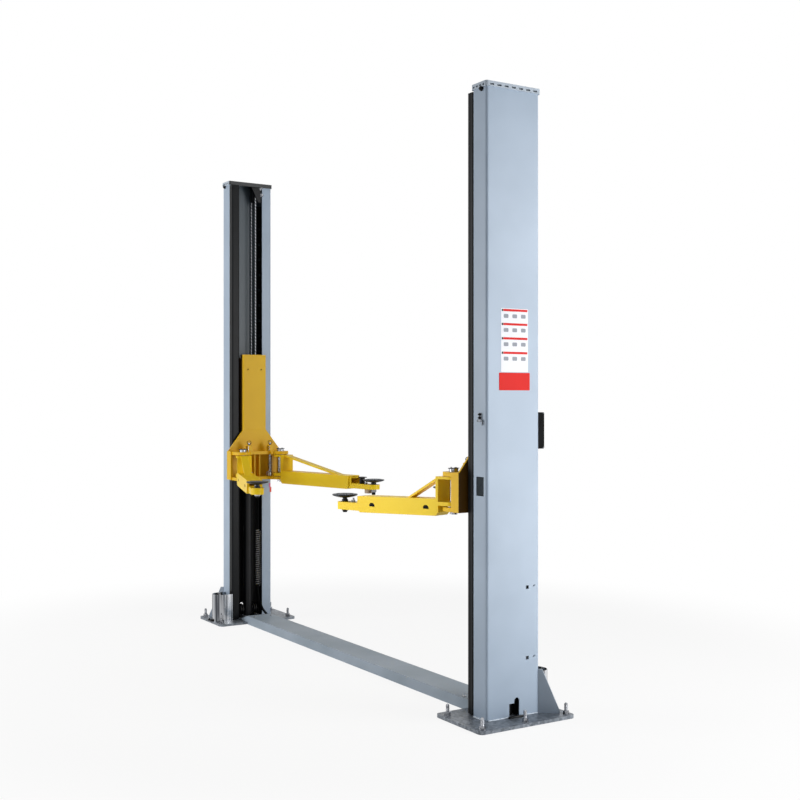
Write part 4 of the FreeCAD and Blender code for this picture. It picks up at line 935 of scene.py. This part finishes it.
def make_foot_strap():
    """A black strap that lies on the right base plate in front of the foot's cut-out."""
    strap = block("foot_strap", (WEB + 16, 2, PLATE_TOP + 4), (12, 74, 8))
    pick(strap, "FACE", lambda centre, normal: normal.y > 0.9)
    bpy.ops.mesh.extrude_region_move(TRANSFORM_OT_translate={"value": (-3 * MM, 14 * MM, -2 * MM)})
    bpy.ops.transform.resize(value=(0.8, 1, 0.5))
    leave_edit()
    ease_edges(strap, 1.2)
    settle(strap, "black_coat", "stand")


def make_box():
    """The control box: a moulded shell with eased corners, its lid with seam and pressed rim, four screws."""
    low, high = corners_mm("control_box")
    size = Vector((high.x - low.x, 64, high.z - low.z - 8))
    middle = Vector(((low.x + high.x) / 2, low.y + size.y / 2, high.z - 1 - size.z / 2))
    shell = block("box_shell", middle, size)
    round_corners(shell, 0, 5)
    pick(shell, "FACE", lambda centre, normal: normal.x > 0.9)
    bpy.ops.mesh.inset(thickness=2 * MM, depth=-1.5 * MM)
    bpy.ops.mesh.inset(thickness=5 * MM, depth=0)
    bpy.ops.mesh.extrude_region_move(TRANSFORM_OT_translate={"value": (1.5 * MM, 0, 0)})
    bpy.ops.transform.resize(value=(1, 0.96, 0.98))
    leave_edit()
    ease_edges(shell, 0.5)
    settle(shell, "abs", "stand")
    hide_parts("control_box")
    screw = turned("box_screw", [(2.6, 0), (2.6, 0.8), (1.8, 1.4), (1, 1.5), (0.9, 0.8)], 16)
    lay_out(screw, "bright_steel", [
        ("stand", (high.x - 1.6, middle.y + y * (size.y / 2 - 4.8), middle.z + z * (size.z / 2 - 4.8)),
         OUT_OF_WEB)
        for y in (1, -1) for z in (1, -1)])


make_labels()
make_latches()
make_top_bolts()
make_shroud_bolts()
make_weld_beads()
make_lock_springs()
make_lock_rings()
make_lock_loops()
make_pin_tops()
make_pad_tops()
make_pads()
make_stop_bolts()
make_slot_shade_inserts()
make_left_rear_stops()
make_hanger_nuts()
make_cover_screws()
make_anchor_threads()
make_hose_guards()
make_release_hose()
make_lip_tag()
make_window_covers()
make_foot_strap()
make_box()


# Room, light and camera

def background_ray(tree):
    """1 where the surface is seen: directly, mirrored in something glossy, or through something."""
    path = add_node(tree, "ShaderNodeLightPath").outputs
    seen = add_math(tree, "MAXIMUM", path["Is Camera Ray"], path["Is Glossy Ray"])
    return add_math(tree, "MAXIMUM", seen, path["Is Transmission Ray"])


def make_floor():
    """A white floor that takes the shadow near the object and runs out into plain white."""
    bpy.ops.object.select_all(action="DESELECT")
    bpy.ops.mesh.primitive_plane_add(size=80, location=(0, 0, -0.0005))
    floor = bpy.context.object
    floor.name = "studio_floor"
    material, tree, shader = new_material("White studio floor", Roughness=0.9)
    shader.inputs["Base Color"].default_value = srgb("#f4f4f4")
    place = object_place(tree)
    distance = add_node(tree, "ShaderNodeVectorMath", {"operation": "LENGTH"}, {0: place}).outputs["Value"]
    away = add_node(tree, "ShaderNodeMapRange", {"interpolation_type": "SMOOTHSTEP"}, {
        "Value": distance, "From Min": 1.9, "From Max": 3.4, "To Min": 0.88, "To Max": 1.0})
    share = add_math(tree, "MULTIPLY", away.outputs["Result"], background_ray(tree))
    white = add_node(tree, "ShaderNodeEmission", inputs={"Color": srgb("#ffffff"), "Strength": 1.0})
    mix = add_node(tree, "ShaderNodeMixShader", inputs={
        0: share, 1: shader.outputs["BSDF"], 2: white.outputs["Emission"]})
    tree.links.new(mix.outputs["Shader"], tree.nodes["Material Output"].inputs["Surface"])
    floor.data.materials.append(material)


def hang_lamp(lamp, location, target):
    obj = bpy.data.objects.new(lamp.name, lamp)
    bpy.context.scene.collection.objects.link(obj)
    obj.location = location
    obj.rotation_euler = (Vector(target) - Vector(location)).to_track_quat("-Z", "Y").to_euler()


def make_light(name, location, target, width, height, watts):
    lamp = bpy.data.lights.new(name, "AREA")
    lamp.shape = "RECTANGLE"
    lamp.size = width
    lamp.size_y = height
    lamp.energy = watts
    hang_lamp(lamp, location, target)


def make_spot(name, location, target, cone, watts):
    """A soft-edged lamp that reaches the near arms and not the column behind them."""
    lamp = bpy.data.lights.new(name, "SPOT")
    lamp.spot_size = math.radians(cone)
    lamp.spot_blend = 0.6
    lamp.shadow_soft_size = 0.25
    lamp.energy = watts
    hang_lamp(lamp, location, target)


def make_world():
    world = bpy.data.worlds.new("Studio")
    bpy.context.scene.world = world
    world.use_nodes = True
    tree = world.node_tree
    tree.nodes.clear()
    soft = add_node(tree, "ShaderNodeBackground", inputs={"Color": srgb("#ffffff"), "Strength": 0.16})
    white = add_node(tree, "ShaderNodeBackground", inputs={"Color": srgb("#ffffff"), "Strength": 1.0})
    mix = add_node(tree, "ShaderNodeMixShader", inputs={
        0: background_ray(tree), 1: soft.outputs[0], 2: white.outputs[0]})
    add_node(tree, "ShaderNodeOutputWorld", inputs={"Surface": mix.outputs[0]})


def make_camera():
    camera = bpy.data.cameras.new("camera")
    camera.sensor_width = 36
    camera.lens = 52.43
    camera.shift_y = -0.0015
    camera.clip_end = 200
    obj = bpy.data.objects.new("camera", camera)
    bpy.context.scene.collection.objects.link(obj)
    obj.location = (5.5716, -3.1621, 1.4284)
    obj.rotation_euler = (math.radians(90), 0, math.radians(58.1))
    bpy.context.scene.camera = obj


make_floor()
make_world()
make_light("web_light", (3.6, 1.9, 1.6), (1.4, 0, 1.6), 1.6, 3.4, 98)
make_light("front_light", (-1.8, -4.2, 1.8), (-0.2, 0, 1.2), 2.6, 3.0, 108)
make_light("top_light", (0.4, 0.2, 5.2), (0, 0, 1.0), 3.5, 3.5, 24)
make_light("fill_light", (4.6, -3.6, 2.2), (1.2, 0, 1.3), 2.0, 2.6, 2)
make_spot("arm_light", (-0.4, -3.4, 1.6), (0.7, -0.3, 0.93), 19, 190)
make_camera()
bpy.context.scene.view_settings.view_transform = "Standard"
